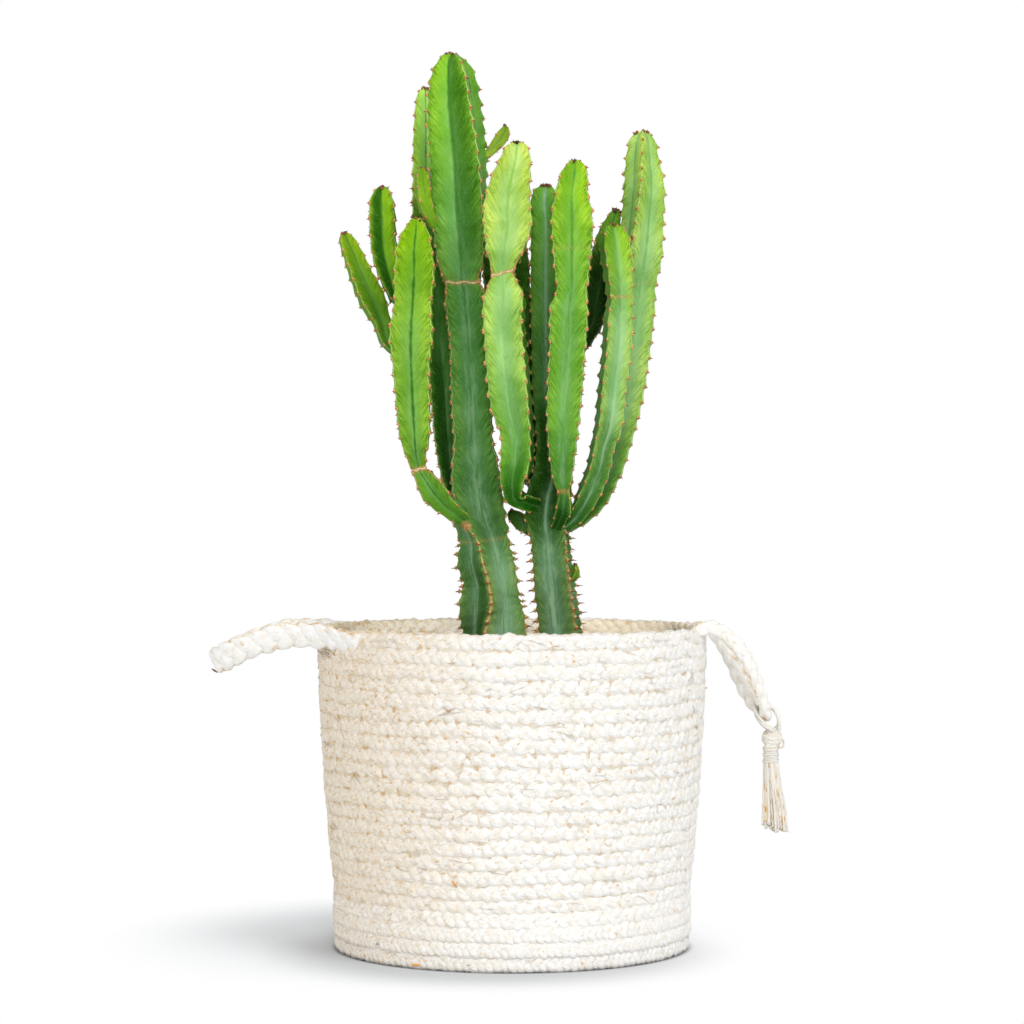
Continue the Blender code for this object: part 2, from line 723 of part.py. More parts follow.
def make_tassel(parts):
    centre = (TASSEL_X, 0.0)
    middle = (KNOT_TOP_Z + KNOT_FOOT_Z) / 2
    half = (KNOT_TOP_Z - KNOT_FOOT_Z) / 2
    knot = []
    knot_levels = 6
    for i in range(knot_levels + 1):
        angle = math.pi * i / knot_levels
        knot.append((KNOT_RADIUS * math.sin(angle), middle + half * math.cos(angle)))
    knot[0] = (0.0, knot[0][1])
    knot[-1] = (0.0, knot[-1][1])
    binding_top = KNOT_FOOT_Z - GAP
    binding = [
        (NECK_RADIUS + GAP, BINDING_FOOT_Z),
        (NECK_RADIUS + GAP, binding_top),
        (BINDING_RADIUS, binding_top),
        (BINDING_RADIUS, BINDING_FOOT_Z),
    ]
    fringe_top = BINDING_FOOT_Z - GAP
    fringe = [
        (0.0, binding_top),
        (NECK_RADIUS, binding_top),
        (NECK_RADIUS, fringe_top),
        (BINDING_RADIUS, fringe_top - NECK_RADIUS),
        (FRINGE_RADIUS, FRINGE_FOOT_Z),
        (0.0, FRINGE_FOOT_Z),
    ]
    make_tassel_tie(parts)
    tassel = [
        turned("tassel_knot", knot, parts, "twine", centre=centre),
        turned("tassel_binding", binding, parts, "twine", closed=True, centre=centre),
        turned("tassel_fringe", fringe, parts, "twine", centre=centre),
    ]
    small_steps = 16
    for item in tassel:
        item.modifiers["turn"].steps = small_steps
        item.modifiers["turn"].render_steps = small_steps


def main():
    clear_scene()
    parts = new_collection("potted_euphorbia")
    cutters = new_collection("cutters")
    make_basket_base(parts)
    make_basket_wall(parts)
    make_pot(parts, cutters)
    clearances = make_stems(parts, cutters)
    make_soil(parts, (clearances["left_main_stem"], clearances["right_main_stem"]))
    make_strap("resting_handle", RESTING_HANDLE, STRAP_WIDTH, STRAP_THICKNESS, parts, cutters)
    make_strap("hanging_handle", HANGING_HANDLE, HANGING_WIDTH, HANGING_THICKNESS, parts, cutters)
    make_tassel(parts)


main()
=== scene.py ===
"""Looks of the potted euphorbia: ribbed stems with spine pads, a braided basket, handles and a tassel.

Metres, +Z up, origin on the floor under the centre of the basket. The front faces -Y.
The tables of stems, of painted light and shade on stem faces and of handle routes are in millimetres, as
their comments say.
"""
import math

import bpy
import numpy as np
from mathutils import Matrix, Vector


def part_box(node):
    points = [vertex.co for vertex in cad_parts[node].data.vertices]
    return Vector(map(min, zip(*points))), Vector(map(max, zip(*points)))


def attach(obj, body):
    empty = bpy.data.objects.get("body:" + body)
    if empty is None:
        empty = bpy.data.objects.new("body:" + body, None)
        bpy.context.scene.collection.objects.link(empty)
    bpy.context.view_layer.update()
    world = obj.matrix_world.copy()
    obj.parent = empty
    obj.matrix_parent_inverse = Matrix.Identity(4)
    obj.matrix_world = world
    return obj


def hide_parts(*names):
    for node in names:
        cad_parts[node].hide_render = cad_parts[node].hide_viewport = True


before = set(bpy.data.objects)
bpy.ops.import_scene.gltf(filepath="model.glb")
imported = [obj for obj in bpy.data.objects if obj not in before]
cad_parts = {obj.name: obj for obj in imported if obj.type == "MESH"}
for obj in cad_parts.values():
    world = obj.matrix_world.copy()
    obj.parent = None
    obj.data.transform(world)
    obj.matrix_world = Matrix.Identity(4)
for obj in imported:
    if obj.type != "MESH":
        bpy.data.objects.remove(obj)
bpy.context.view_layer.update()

MM = 0.001
UP = np.array([0.0, 0.0, 1.0])
rng = np.random.default_rng(7)

# ------------------------ stems, as in the CAD
EVEN_RIBS = (0, 90, 180, 270)        # degrees round the section
TRUNK_RIBS = (0, 125, 192, 277)      # the same, for the right trunk and its stem
VALLEY_DEPTH = 0.53                  # valley radius as a share of the rib radius
VALLEY_BOWL = 0.34                   # half width of the valley's rounded floor, as a share of the rib radius
NECK_ROUNDING = 0.0075               # below this radius a stem loses its ribs
USUAL_TURN = -45                     # the ribs' turn in degrees, where a stem's table begins without one
TIP_RISE = 0.0022                    # how far the ribs rise over the valleys at the tip
TIP_REACH = 0.006

# Foot to tip: x, y, z and rib radius in millimetres, and the ribs' turn in degrees where it changes
STEMS = {
    "left_main_stem": (
        (-5, 0, 130, 21, -20), (-8, 0, 165, 21.8), (-11, 0, 199, 21.6, -18), (-14, 0, 219, 20.4, 2),
        (-14, 0, 233, 17.8, -3), (-17, 0, 248, 18.7, -6), (-18, 0, 261, 16.5, -14), (-21, 0, 277, 20, -34),
        (-23, 0, 293, 22, -42), (-24, 0, 312, 20, -45), (-25, 0, 326, 17), (-26, 0, 352, 18),
        (-28, 0, 386, 16.2), (-30, 0, 416, 18), (-32, 0, 427, 15), (-33, 0, 441, 20.5),
        (-34, 0, 468, 22.6, -48), (-35, 0, 507, 22.6, -54), (-37, 0, 539, 20, -60), (-38, 0, 561, 16, -62),
        (-39, 0, 571, 9.7), (-39, 0, 575, 3),
    ),
    "left_back_stem": (
        (-22, 2, 266, 4), (-34, 17, 283, 6), (-39, 26, 303, 9.8), (-42, 30, 333, 12.5), (-47, 31, 399, 13),
        (-55, 31, 458, 12.4), (-56.3, 31, 497, 11.8), (-56.3, 30, 536, 10.4), (-56.6, 30, 552, 7.4),
        (-56.6, 30, 557, 2.6),
    ),
    "front_left_branch": (
        (-21, -4, 269, 4.5), (-32, -14, 275, 5.8), (-41, -20, 282, 7.7), (-50, -22, 292, 10.8),
        (-56, -23, 301, 8.3), (-59, -24, 306, 6.1), (-61, -25, 316, 8.9), (-62, -26, 332, 13.4),
        (-64, -26, 372, 15.9), (-64, -26, 392, 18.6), (-63, -26, 411, 15.9), (-62, -26, 430, 17.2),
        (-62, -26, 446, 15.3), (-61, -26, 458, 10.8), (-61, -26, 466, 3),
    ),
    "far_left_branch": (
        (-69, -20, 381, 3, -35), (-76, -13, 384, 4), (-81, -7, 391, 5.8), (-84, -4, 402, 7.2),
        (-90, -2, 416, 10.5), (-97, -1, 431, 9.3), (-103, -1, 446, 7.7), (-107, -1, 455, 5.8),
        (-108, -1, 459, 2.2),
    ),
    "upper_left_branch": (
        (-69, -20, 411, 2.6), (-73, -11, 415, 4), (-76, -3, 422, 7), (-80, 1, 437, 10.5),
        (-83, 2, 453, 10.9), (-84, 2, 476, 10.9), (-84, 2, 485, 7.7), (-84, 2, 489, 2.6),
    ),
    "left_shoot": (
        (-46, -10, 460, 2.2, -30), (-51, -15, 464, 3.2), (-55, -18, 474, 5), (-57, -19, 485, 5.4),
        (-58, -19, 494, 4.6), (-58, -19, 499, 1.8),
    ),
    "right_shoot": (
        (-23, 8, 507, 2), (-17, 13, 511, 2.6), (-13, 14, 515, 3.3), (-8, 14, 521, 5), (-5, 14, 526, 4.4),
        (-4, 14, 530, 1.8),
    ),
    "right_main_stem": (
        (35, 0, 132, 14.5, -82), (33, 0, 175, 14.7), (31, 0, 207, 14.3), (28, 0, 229, 13.9),
        (25, 0, 261, 13.2, -80), (23.4, 1, 274, 15, -74), (23.8, 4, 287, 16.2, -68),
        (26.4, 10, 303, 13.9, -64), (26, 16, 326, 11.2, -62), (23, 21, 360, 11), (22, 22, 418, 11),
        (22, 22, 463, 11), (21, 22, 483, 9.8), (22, 22, 490, 5.9), (22, 22, 493, 2.2),
    ),
    "trunk_bud": (
        (34, 2, 233, 1.6, 0), (39, 3, 236, 2.5), (41, 3, 240, 2.9), (41, 3, 245, 1.3),
    ),
    "low_stub": (
        (22, 1, 265, 4.5), (15, 3, 267, 5.8), (7, 4, 272, 7.1), (1, 5, 277, 5.2), (-1, 5, 280, 2),
    ),
    "centre_branch": (
        (18, 3, 283, 5, -52), (11.5, -6, 285, 6.6), (6, -14, 286.8, 7), (1.5, -21.5, 289.2, 6.8),
        (0.8, -26.5, 296, 8.6), (1.4, -28.5, 303, 11.2), (3, -29, 312, 13), (3, -29, 330, 13),
        (-1, -29, 352, 16.8), (-5, -29, 397, 16.6, -50), (-5, -29, 416, 16.8, -48),
        (-6, -29, 431, 9.6, -45), (-5, -29, 444, 15.3), (-3, -29, 460, 20.6), (-3, -29, 473, 20.4),
        (-1, -29, 488, 17.2), (2, -29, 501, 13.6), (3, -29, 510, 10), (3, -29, 514, 3.4),
    ),
    "centre_back_branch": (
        (23, 6, 282, 4.5), (18, 19, 294, 7.8), (11, 30, 316, 12.5), (3, 36, 353, 15.8), (0, 38, 392, 18.4),
        (-3, 38, 425, 20.4), (-4, 38, 444, 20.4), (-5, 38, 457, 16.5), (-5, 38, 465, 8.6),
        (-5, 38, 469, 2.6),
    ),
    "outer_right_branch": (
        (26, 3, 266, 4.5), (35, 8, 270, 5.5), (44, 11, 276, 7.8), (53, 14, 287, 11.1), (59, 15, 300, 12.4),
        (64, 16, 314, 13.7), (73, 17, 352, 15.6), (77, 17, 383, 16.3, -43), (79, 17, 409, 16, -34),
        (80, 17, 427, 14.5, -22), (83, 17, 447, 15.8), (85, 17, 469, 14.3, -18), (86, 17, 489, 13.7, -12),
        (85, 17, 508, 11.1, -4), (85, 17, 521, 8.5, 0), (85, 17, 527, 2.6),
    ),
    "front_right_branch": (
        (28, -3, 268, 4.2), (31, -12, 275, 5.1), (33, -20, 283, 6.6), (33, -24, 292, 4.6),
        (32, -25, 301, 8.3), (32, -25, 325, 12.8), (33, -25, 351, 15), (35, -25, 383, 15.6),
        (36, -25, 406, 16.6), (38, -25, 420, 13.1), (38, -25, 434, 15.3), (38, -25, 464, 17.9),
        (38, -25, 482, 14), (40, -25, 496, 10.8), (40, -25, 503, 3.4),
    ),
    "inner_right_branch": (
        (26, -2, 266, 4.2, -35), (35, -7, 271, 5.1), (43, -10, 280, 7.1), (49, -12, 291, 8.7),
        (55, -13, 306, 9), (58, -14, 321, 9), (62, -15, 336, 10.5), (64, -15, 358, 10.6),
        (67, -15, 382, 11.2), (68, -15, 404, 10.8), (69, -15, 417, 9.8), (66, -15, 449, 11.5),
        (65, -15, 459, 8.7), (65, -15, 463, 3),
    ),
    "back_right_branch": (
        (24, 23, 371, 3.3), (33, 27, 377, 4.6), (43, 33, 386, 5.9), (50, 37, 397, 7.9),
        (55, 39, 411, 10.8), (57, 40, 426, 12), (61, 40, 448, 11.5), (64, 40, 463, 9.2),
        (68, 40, 475, 4.6), (69, 40, 478, 2),
    ),
}
# Handle routes in millimetres, from the front seam round the loop to the back seam
RESTING_HANDLE = (
    (-100, -76, 199.5), (-116.5, -56, 201.6), (-133, -44, 202), (-152, -36, 199.5), (-172, -26, 192.5),
    (-186, -13, 185.5), (-190.5, 0, 183.5), (-186, 13, 185.5), (-172, 26, 192.5), (-152, 36, 199.5),
    (-133, 44, 201), (-116.5, 56, 199.2), (-100, 76, 198),
)
HANGING_HANDLE = (
    (120.5, -34, 205.5), (129, -30.5, 205.5), (137.5, -27, 200.1), (145.4, -24, 191.4),
    (151.7, -20.5, 181), (156.1, -16, 171.1), (160.1, -10.5, 159.8), (162.8, -5, 151.8), (163.6, 1, 148.4),
    (159.2, 8, 153.4), (154.3, 13, 159.2), (147.9, 18, 172.2), (142.3, 22, 183.4), (137.5, 26, 192),
    (132.6, 30, 199.1), (127.6, 34, 203), (120.5, 40, 203.5),
)


# ------------------------ mesh tools
def smooth_route(stations, spacing):
    """Points along a Catmull-Rom curve through the stations, ends included."""
    points = np.array(stations, float)
    padded = np.vstack([points[:1], points, points[-1:]])
    route = []
    for i in range(len(points) - 1):
        before, start, end, after = padded[i:i + 4]
        count = max(1, round(np.linalg.norm(end[:3] - start[:3]) / spacing))
        t = (np.arange(count) / count)[:, None]
        route.append(0.5 * (
            2 * start
            + (end - before) * t
            + (2 * before - 5 * start + 4 * end - after) * t ** 2
            + (3 * start - before - 3 * end + after) * t ** 3
        ))
    route.append(points[-1:])
    return np.vstack(route)


def box_of(node):
    """A node's lowest and highest corners as arrays."""
    low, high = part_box(node)
    return np.array(low), np.array(high)


def unit(vectors):
    return vectors / np.maximum(np.linalg.norm(vectors, axis=-1, keepdims=True), 1e-12)


def directions(points, closed=False):
    """Unit tangents of a polyline."""
    if closed:
        return unit(np.roll(points, -1, 0) - np.roll(points, 1, 0))
    return unit(np.gradient(points, axis=0))


def lengths(points):
    """Distance along a polyline at each point."""
    steps = np.linalg.norm(np.diff(points, axis=0), axis=1)
    return np.concatenate([[0.0], np.cumsum(steps)])


def corner_angles(corners):
    return np.arange(corners) * math.tau / corners


def circle(corners):
    """Cosines and sines of the corners' angles."""
    return np.cos(corner_angles(corners)), np.sin(corner_angles(corners))


def on_circle(angle, radius, height):
    """Points at the given angles round the upright axis; each value is a number or an array."""
    return np.stack(np.broadcast_arrays(np.cos(angle) * radius, np.sin(angle) * radius, height), -1)


def turn_about(axis, angle):
    """The matrix of a turn about one of the axes 0, 1 and 2."""
    matrix = np.eye(3)
    a, b = (axis + 1) % 3, (axis + 2) % 3
    matrix[a, a] = matrix[b, b] = math.cos(angle)
    matrix[b, a] = math.sin(angle)
    matrix[a, b] = -math.sin(angle)
    return matrix


def oval(sides):
    """The two coordinates of a section that is flatter than an ellipse."""
    x, y = circle(sides)
    return np.sign(x) * np.abs(x) ** 0.85, np.sign(y) * np.abs(y) ** 0.60


class Build:
    """Collects parts of one mesh: places, faces by corner count, grain coordinates and named values."""

    def __init__(self):
        self.verts, self.values, self.count = [], {}, 0
        self.faces, self.grain = {4: [], 3: []}, {4: [], 3: []}

    def loft(self, rings, across, along, ends=None, closed=False, **values):
        """Rings of points (n, m, 3) joined by quads, and capped unless closed.

        The grain is across, m + 1 numbers round a ring, and along, one number a ring. Where neighbouring
        quads don't share their grain, across and ends (n, m) give it at the two sides of each quad.
        """
        n, m = rings.shape[:2]
        if ends is None:
            across, ends = np.broadcast_to(across[:-1], (n, m)), np.broadcast_to(across[1:], (n, m))
        index = np.arange(n * m).reshape(n, m)
        rows = np.arange(n) if closed else np.arange(n - 1)
        after = (rows + 1) % n
        lower, upper = index[rows], index[after]
        quads = np.stack([lower, np.roll(lower, -1, 1), np.roll(upper, -1, 1), upper], -1).reshape(-1, 4)
        top = along[rows] + along[1] - along[0] if closed else along[after]
        shape = (len(rows), m)
        start_v, end_v = np.broadcast_to(along[rows][:, None], shape), np.broadcast_to(top[:, None], shape)
        grain = np.stack([
            np.stack([across[rows], start_v], -1), np.stack([ends[rows], start_v], -1),
            np.stack([ends[after], end_v], -1), np.stack([across[after], end_v], -1),
        ], 2).reshape(-1, 2)
        self.faces[4].append(quads + self.count)
        self.grain[4].append(grain)
        verts = rings.reshape(-1, 3)
        flat = {k: np.broadcast_to(np.asarray(v, float), (n, m)).reshape(-1) for k, v in values.items()}
        if not closed:
            verts = np.vstack([verts, rings[0].mean(0), rings[-1].mean(0)])
            first, last = index[0], index[-1]
            fans = (np.roll(first, -1), first, along[0]), (last, np.roll(last, -1), along[-1])
            for i, (a, b, v) in enumerate(fans):
                self.faces[3].append(np.stack([a, b, np.full(m, n * m + i)], -1) + self.count)
                self.grain[3].append(np.stack([np.full(3 * m, across[0, 0]), np.full(3 * m, v)], -1))
            flat = {k: np.concatenate([v, [v[:m].mean(), v[-m:].mean()]]) for k, v in flat.items()}
        for name, value in flat.items():
            self.values.setdefault(name, []).append((self.count, value))
        self.verts.append(verts)
        self.count += len(verts)

    def tube(self, centres, wide, deep, sides=8, closed=False, shift=0.0, **values):
        """A tube of oval sections; wide and deep are the two half axes at each centre."""
        x, y = oval(sides)
        rings = centres[:, None] + wide[:, None] * x[None, :, None] + deep[:, None] * y[None, :, None]
        across = np.arange(sides + 1) / sides + shift
        values = {k: (v[:, None] if np.ndim(v) == 1 else v) for k, v in values.items()}
        self.loft(rings, across, lengths(centres) * 100, closed=closed, **values)

    def ball(self, centre, axes, **values):
        """A small closed ball with half axes given as rows."""
        levels, sides, pole = 4, 6, 0.12
        lat = np.linspace(pole, math.pi - pole, levels)[:, None]
        shape = on_circle(corner_angles(sides), np.sin(lat), -np.cos(lat))
        self.loft(centre + shape @ axes, np.zeros(sides + 1), lat[:, 0], **values)

    def piece(self, name, material, slot, *nodes):
        """Makes the object, which rides on the root body and stands for the CAD nodes."""
        verts = np.vstack(self.verts)
        faces = [np.vstack(self.faces[size]) for size in (4, 3) if self.faces[size]]
        sizes = np.concatenate([np.full(len(f), f.shape[1]) for f in faces])
        corners = np.concatenate([f.ravel() for f in faces])
        starts = np.concatenate([[0], np.cumsum(sizes)[:-1]])
        mesh = bpy.data.meshes.new(name)
        mesh.vertices.add(len(verts))
        mesh.vertices.foreach_set("co", verts.astype(np.float32).ravel())
        mesh.loops.add(len(corners))
        mesh.loops.foreach_set("vertex_index", corners.astype(np.int32))
        mesh.polygons.add(len(sizes))
        mesh.polygons.foreach_set("loop_start", starts.astype(np.int32))
        mesh.update(calc_edges=True)
        grain = np.vstack(self.grain[4] + self.grain[3])
        mesh.uv_layers.new(name="grain").uv.foreach_set("vector", grain.astype(np.float32).ravel())
        for key, parts in self.values.items():
            full = np.zeros(len(verts), np.float32)
            for start, value in parts:
                full[start:start + len(value)] = value
            mesh.attributes.new(key, "FLOAT", "POINT").data.foreach_set("value", full)
        mesh.shade_smooth()
        mesh.materials.append(material)
        item = bpy.data.objects.new(name, mesh)
        bpy.context.scene.collection.objects.link(item)
        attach(item, "root")
        if nodes:
            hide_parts(*nodes)


# ------------------------ material tools
def rgb(red, green, blue):
    """A colour named by 0-255 values, as linear numbers."""
    shares = [value / 255 for value in (red, green, blue)]
    return (*(s / 12.92 if s <= 0.04045 else ((s + 0.055) / 1.055) ** 2.4 for s in shares), 1.0)


class Nodes:
    """Short calls for the nodes of a material or world. A value is a number, a colour or an output."""

    def __init__(self, owner):
        owner.use_nodes = True
        self.owner, self.tree = owner, owner.node_tree

    def new(self, kind, **settings):
        node = self.tree.nodes.new("ShaderNode" + kind)
        for key, value in settings.items():
            setattr(node, key, value)
        return node

    def plug(self, socket, value):
        if isinstance(value, bpy.types.NodeSocket):
            self.tree.links.new(value, socket)
        else:
            socket.default_value = value

    def fill(self, node, *values):
        """Plugs the node's first inputs and gives its first output."""
        for socket, value in zip(node.inputs, values):
            self.plug(socket, value)
        return node.outputs[0]

    def math(self, operation, a, b, clamp=False):
        return self.fill(self.new("Math", operation=operation, use_clamp=clamp), a, b)

    def mul(self, a, b, clamp=False):
        return self.math("MULTIPLY", a, b, clamp)

    def add(self, a, b):
        return self.math("ADD", a, b)

    def mix(self, factor, a, b, blend="MIX"):
        node = self.new("Mix", data_type="RGBA", blend_type=blend)
        self.plug(node.inputs["Factor"], factor)
        self.plug(node.inputs[6], a)
        self.plug(node.inputs[7], b)
        return node.outputs[2]

    def tinted(self, colour, red, green, blue):
        return self.mix(1.0, colour, (red, green, blue, 1.0), "MULTIPLY")

    def span(self, value, low, high, to_low=0.0, to_high=1.0):
        """Eases from to_low to to_high as the value goes from low to high."""
        node = self.new("MapRange", interpolation_type="SMOOTHSTEP")
        return self.fill(node, value, low, high, to_low, to_high)

    def fade(self, value, low, high, a, b):
        """Eases from colour a to colour b as the value goes from low to high."""
        return self.mix(self.span(value, low, high), a, b)

    def attribute(self, name):
        return self.new("Attribute", attribute_name=name).outputs["Fac"]

    def split(self, vector):
        node = self.new("SeparateXYZ")
        self.plug(node.inputs[0], vector)
        return node.outputs[0], node.outputs[1]

    def grain(self):
        """The two grain coordinates of the mesh, in hundredths of a metre."""
        return self.split(self.new("UVMap", uv_map="grain").outputs[0])

    def place(self):
        return self.new("TexCoord").outputs["Object"]

    def noise(self, vector, scale, detail, roughness, distortion=0.0):
        node = self.new("TexNoise")
        names = ("Vector", "Scale", "Detail", "Roughness", "Distortion")
        for name, value in zip(names, (vector, scale, detail, roughness, distortion)):
            self.plug(node.inputs[name], value)
        return node.outputs["Fac"]

    def streaks(self, x, y, scales, seed, detail, roughness, distortion=0.0):
        """Noise over two coordinates, each stretched by its own scale."""
        spot = self.fill(self.new("CombineXYZ"), self.mul(x, scales[0]), self.mul(y, scales[1]), seed)
        return self.noise(spot, 1.0, detail, roughness, distortion)

    def seen(self):
        """1 for a ray from the camera, a mirror or glass, and 0 for light that falls on the object."""
        path = self.new("LightPath")
        sharp = self.math("MAXIMUM", path.outputs["Is Camera Ray"], path.outputs["Is Glossy Ray"])
        return self.math("MAXIMUM", sharp, path.outputs["Is Transmission Ray"])


class Surface(Nodes):
    """A new material and its shader."""

    def __init__(self, name, roughness=0.6, specular=0.5):
        super().__init__(bpy.data.materials.new(name))
        self.shader = self.tree.nodes["Principled BSDF"]
        self.shader.inputs["Roughness"].default_value = roughness
        self.shader.inputs["Specular IOR Level"].default_value = specular

    def colour(self, value):
        self.plug(self.shader.inputs["Base Color"], value)

    def rough(self, value):
        self.plug(self.shader.inputs["Roughness"], value)

    def bump(self, height, distance, strength, below=None):
        node = self.new("Bump")
        node.inputs["Distance"].default_value = distance
        node.inputs["Strength"].default_value = strength
        self.plug(node.inputs["Height"], height)
        if below is not None:
            self.plug(node.inputs["Normal"], below)
        self.plug(self.shader.inputs["Normal"], node.outputs[0])
        return node.outputs[0]


# ------------------------ stem materials
def stem_colour(n, low, middle, high, height, painted_lit):
    """The stem's green from foot to tip, with its clouds, and with painted light and painted shade on some
    stretches of its faces.
    """
    wide = n.noise(n.place(), 34.0, 2.0, 0.55)
    body = n.fade(height, 0.0, 0.55, rgb(*low), rgb(*middle))
    body = n.fade(height, 0.6, 1.0, body, rgb(*high))
    body = n.fade(wide, 0.36, 0.64, n.tinted(body, 0.72, 0.84, 0.66), n.tinted(body, 1.12, 1.10, 1.08))
    # shaded and lit copies of the body: painted shade where the value is below 0, painted light where it is
    # above 0
    dark, painted_bright = n.tinted(body, 0.18, 0.40, 0.03), n.tinted(body, 1.75, 1.50, 1.75)
    body = n.mix(n.mul(painted_lit, -1.0, clamp=True), body, dark)
    return n.mix(n.mul(painted_lit, 1.0, clamp=True), body, painted_bright)


def stem_material(name, low, middle, high, edge, valley, streak, haze, line=(0.10, 0.75)):
    """Waxy ribbed skin: feathered veins from the valley out to the rib, partly painted highlight and shade of
    fine ridges, grey bloom, corky joints, and painted light and shade on given stretches.
    """
    n = Surface(name + "_skin", specular=0.06)
    across, along = n.grain()
    rim, height, cork, painted_lit = (n.attribute(key) for key in ("rim", "share", "cork", "tint"))
    away = n.fill(n.new("Math", operation="ABSOLUTE"), across)
    rise = n.mul(n.math("POWER", away, 0.85), 1.55)
    feather = n.math("SUBTRACT", along, rise)
    veins = n.streaks(feather, across, (5.2, 1.5), 0.0, 3.0, 0.62, 0.7)
    fine = n.streaks(feather, across, (15.0, 6.5), 4.0, 3.0, 0.7, 0.6)
    blotch = n.streaks(feather, across, (1.1, 1.0), 9.0, 3.0, 0.6, 0.6)
    strips = n.streaks(across, along, (4.5, 0.5), 23.0, 3.0, 0.6, 0.4)
    cloud = n.noise(n.place(), 95.0, 3.0, 0.6)
    speck = n.noise(n.place(), 1150.0, 2.0, 0.6)

    body = stem_colour(n, low, middle, high, height, painted_lit)
    spread = n.add(rim, n.mul(n.math("SUBTRACT", blotch, 0.5), 0.9))
    cool, warm = n.tinted(body, 0.80, 0.90, 1.05), n.tinted(body, 1.16, 1.07, 0.66)
    skin = n.fade(spread, 0.15, 0.95, cool, warm)

    # grey bloom in the valleys, in strips along the stem
    bloom = n.mul(n.span(n.add(rim, n.mul(cloud, 0.9)), 1.0, 0.42), n.span(strips, 0.38, 0.60, 0.15, 1.3))
    # less grey bloom where shade is painted
    bloom = n.mul(bloom, n.span(painted_lit, -1.0, 0.0, 0.25, 1.0))
    bloom = n.mul(n.mul(bloom, n.span(height, 1.0, 0.35, 0.30, 0.95)), haze)
    skin = n.mix(bloom, skin, n.mix(0.50, body, rgb(178, 212, 170)))

    # pale and dark feathers towards the ribs: the veins' own colour, partly painted highlight and shade of
    # the fine ridges
    pale = n.mix(0.16, n.tinted(skin, 1.45, 1.22, 1.45), rgb(222, 240, 170))
    deep = n.tinted(skin, 0.42, 0.58, 0.34)
    near = n.mul(n.span(rim, 0.35, 0.92, 0.22, 1.0), n.span(height, 0.05, 0.45, 0.45, 1.0))
    tone = n.add(n.mul(veins, 0.6), n.mul(fine, 0.4))
    skin = n.mix(n.mul(n.span(tone, 0.51, 0.60), n.mul(near, streak * 1.1)), skin, pale)
    skin = n.mix(n.mul(n.span(tone, 0.50, 0.42), n.mul(near, streak * 1.6), clamp=True), skin, deep)
    skin = n.mix(n.mul(n.span(blotch, 0.55, 0.70), 0.4), skin, deep)

    # valley line, rib edge, cork and pale specks
    dip = n.add(rim, n.mul(n.math("SUBTRACT", cloud, 0.5), 0.25))
    skin = n.mix(n.mul(n.span(dip, 0.15, 0.0), n.span(height, 0.35, 0.85, *line)), skin, rgb(*valley))
    skin = n.mix(n.mul(n.span(rim, 0.978, 0.994), n.span(cloud, 0.30, 0.55, 0.25, 0.8)), skin, rgb(*edge))
    corky = n.fade(speck, 0.35, 0.65, rgb(178, 112, 52), rgb(238, 190, 126))
    skin = n.mix(n.mul(cork, n.span(fine, 0.2, 0.5, 0.55, 1.0)), skin, corky)
    n.colour(n.mix(n.mul(n.span(speck, 0.61, 0.73), 0.2), skin, rgb(228, 238, 206)))
    n.rough(n.span(n.add(n.mul(fine, 0.6), n.mul(cork, 0.5)), 0.2, 0.7, 0.40, 0.64))
    relief = n.mul(n.add(n.mul(veins, 0.8), n.mul(fine, 0.45)), n.span(rim, 0.05, 0.7, 0.45, 1.3))
    n.bump(speck, 0.0002, 0.4, below=n.bump(relief, 0.0014, 0.8))
    return n.owner


def pad_material():
    """Corky orange pads with darker, brittle spines; a tone below 0 is a joint's pale crust."""
    n = Surface("pads_and_spines")
    tone = n.attribute("tone")
    speck = n.noise(n.place(), 900.0, 2.0, 0.6)
    pad = n.fade(speck, 0.35, 0.65, rgb(238, 184, 120), rgb(198, 122, 62))
    spine = n.fade(tone, 0.5, 0.9, rgb(158, 92, 52), rgb(58, 22, 14))
    cork = n.fade(speck, 0.35, 0.65, rgb(240, 208, 168), rgb(206, 158, 112))
    crust = n.fade(tone, -0.6, -0.4, cork, pad)
    n.colour(n.fade(tone, 0.35, 0.5, crust, spine))
    n.rough(n.span(speck, 0.3, 0.7, 0.5, 0.8))
    n.bump(speck, 0.0003, 0.6)
    return n.owner


# ------------------------ stems
RING_SPACING = 0.0016
RIBBED_STEPS = np.array([0.0, 0.03, 0.08, 0.17, 0.33, 0.52, 0.72, 0.89, 1.0])    # from a rib to its valley
PLAIN_STEPS = np.array([0.0, 0.08, 0.25, 0.55, 1.0])                            # the same, on thin stems
THIN_STEM = 0.0075                   # widest rib radius of a stem that has plain steps
FULL_TIP = 0.012                     # rib radius of a stem whose ribs rise fully at the tip
FULL_SIZE = 0.014                    # rib radius of a stem whose edges and pads have their full size
RIB_HALF_THICKNESS = 0.0009
RIB_ROUNDING = 0.04
FACE_BELLY = 0.035
BOWL_FILL = 0.15
TOOTH_HEIGHT = 0.0008
TOOTH_LAG = 0.14                     # how far above its pad a tooth is highest, as a share of the spacing
NOTCHES = 0.16                       # fine unevenness of the rib's edge, as a share of a tooth
FACE_GRAIN = 7.0                     # keeps the grain of neighbouring faces apart
STEM_GRAIN = 31.0                    # the same for stems
TINY = 1e-6

PAD_SPACING = 0.0095
TRUNK_PAD_SPACING = 0.0062
TIP_PAD_SPACING = 0.0048
FIRST_PAD = 0.004                    # shortest distance from the foot, and LAST_PAD from the tip
LAST_PAD = 0.002
PAD_AXES = (0.0009, 0.0010, 0.0015)  # outward, across and along the rib
LOWEST_PAD = 0.168                   # no pads under the soil
SPINE_RADIUS = 0.00044
SHORT_SPINES = (0.0009, 0.0022)      # shortest and longest
TRUNK_SPINES = {"left_main_stem": (0.0022, 0.0034), "right_main_stem": (0.0035, 0.0050)}

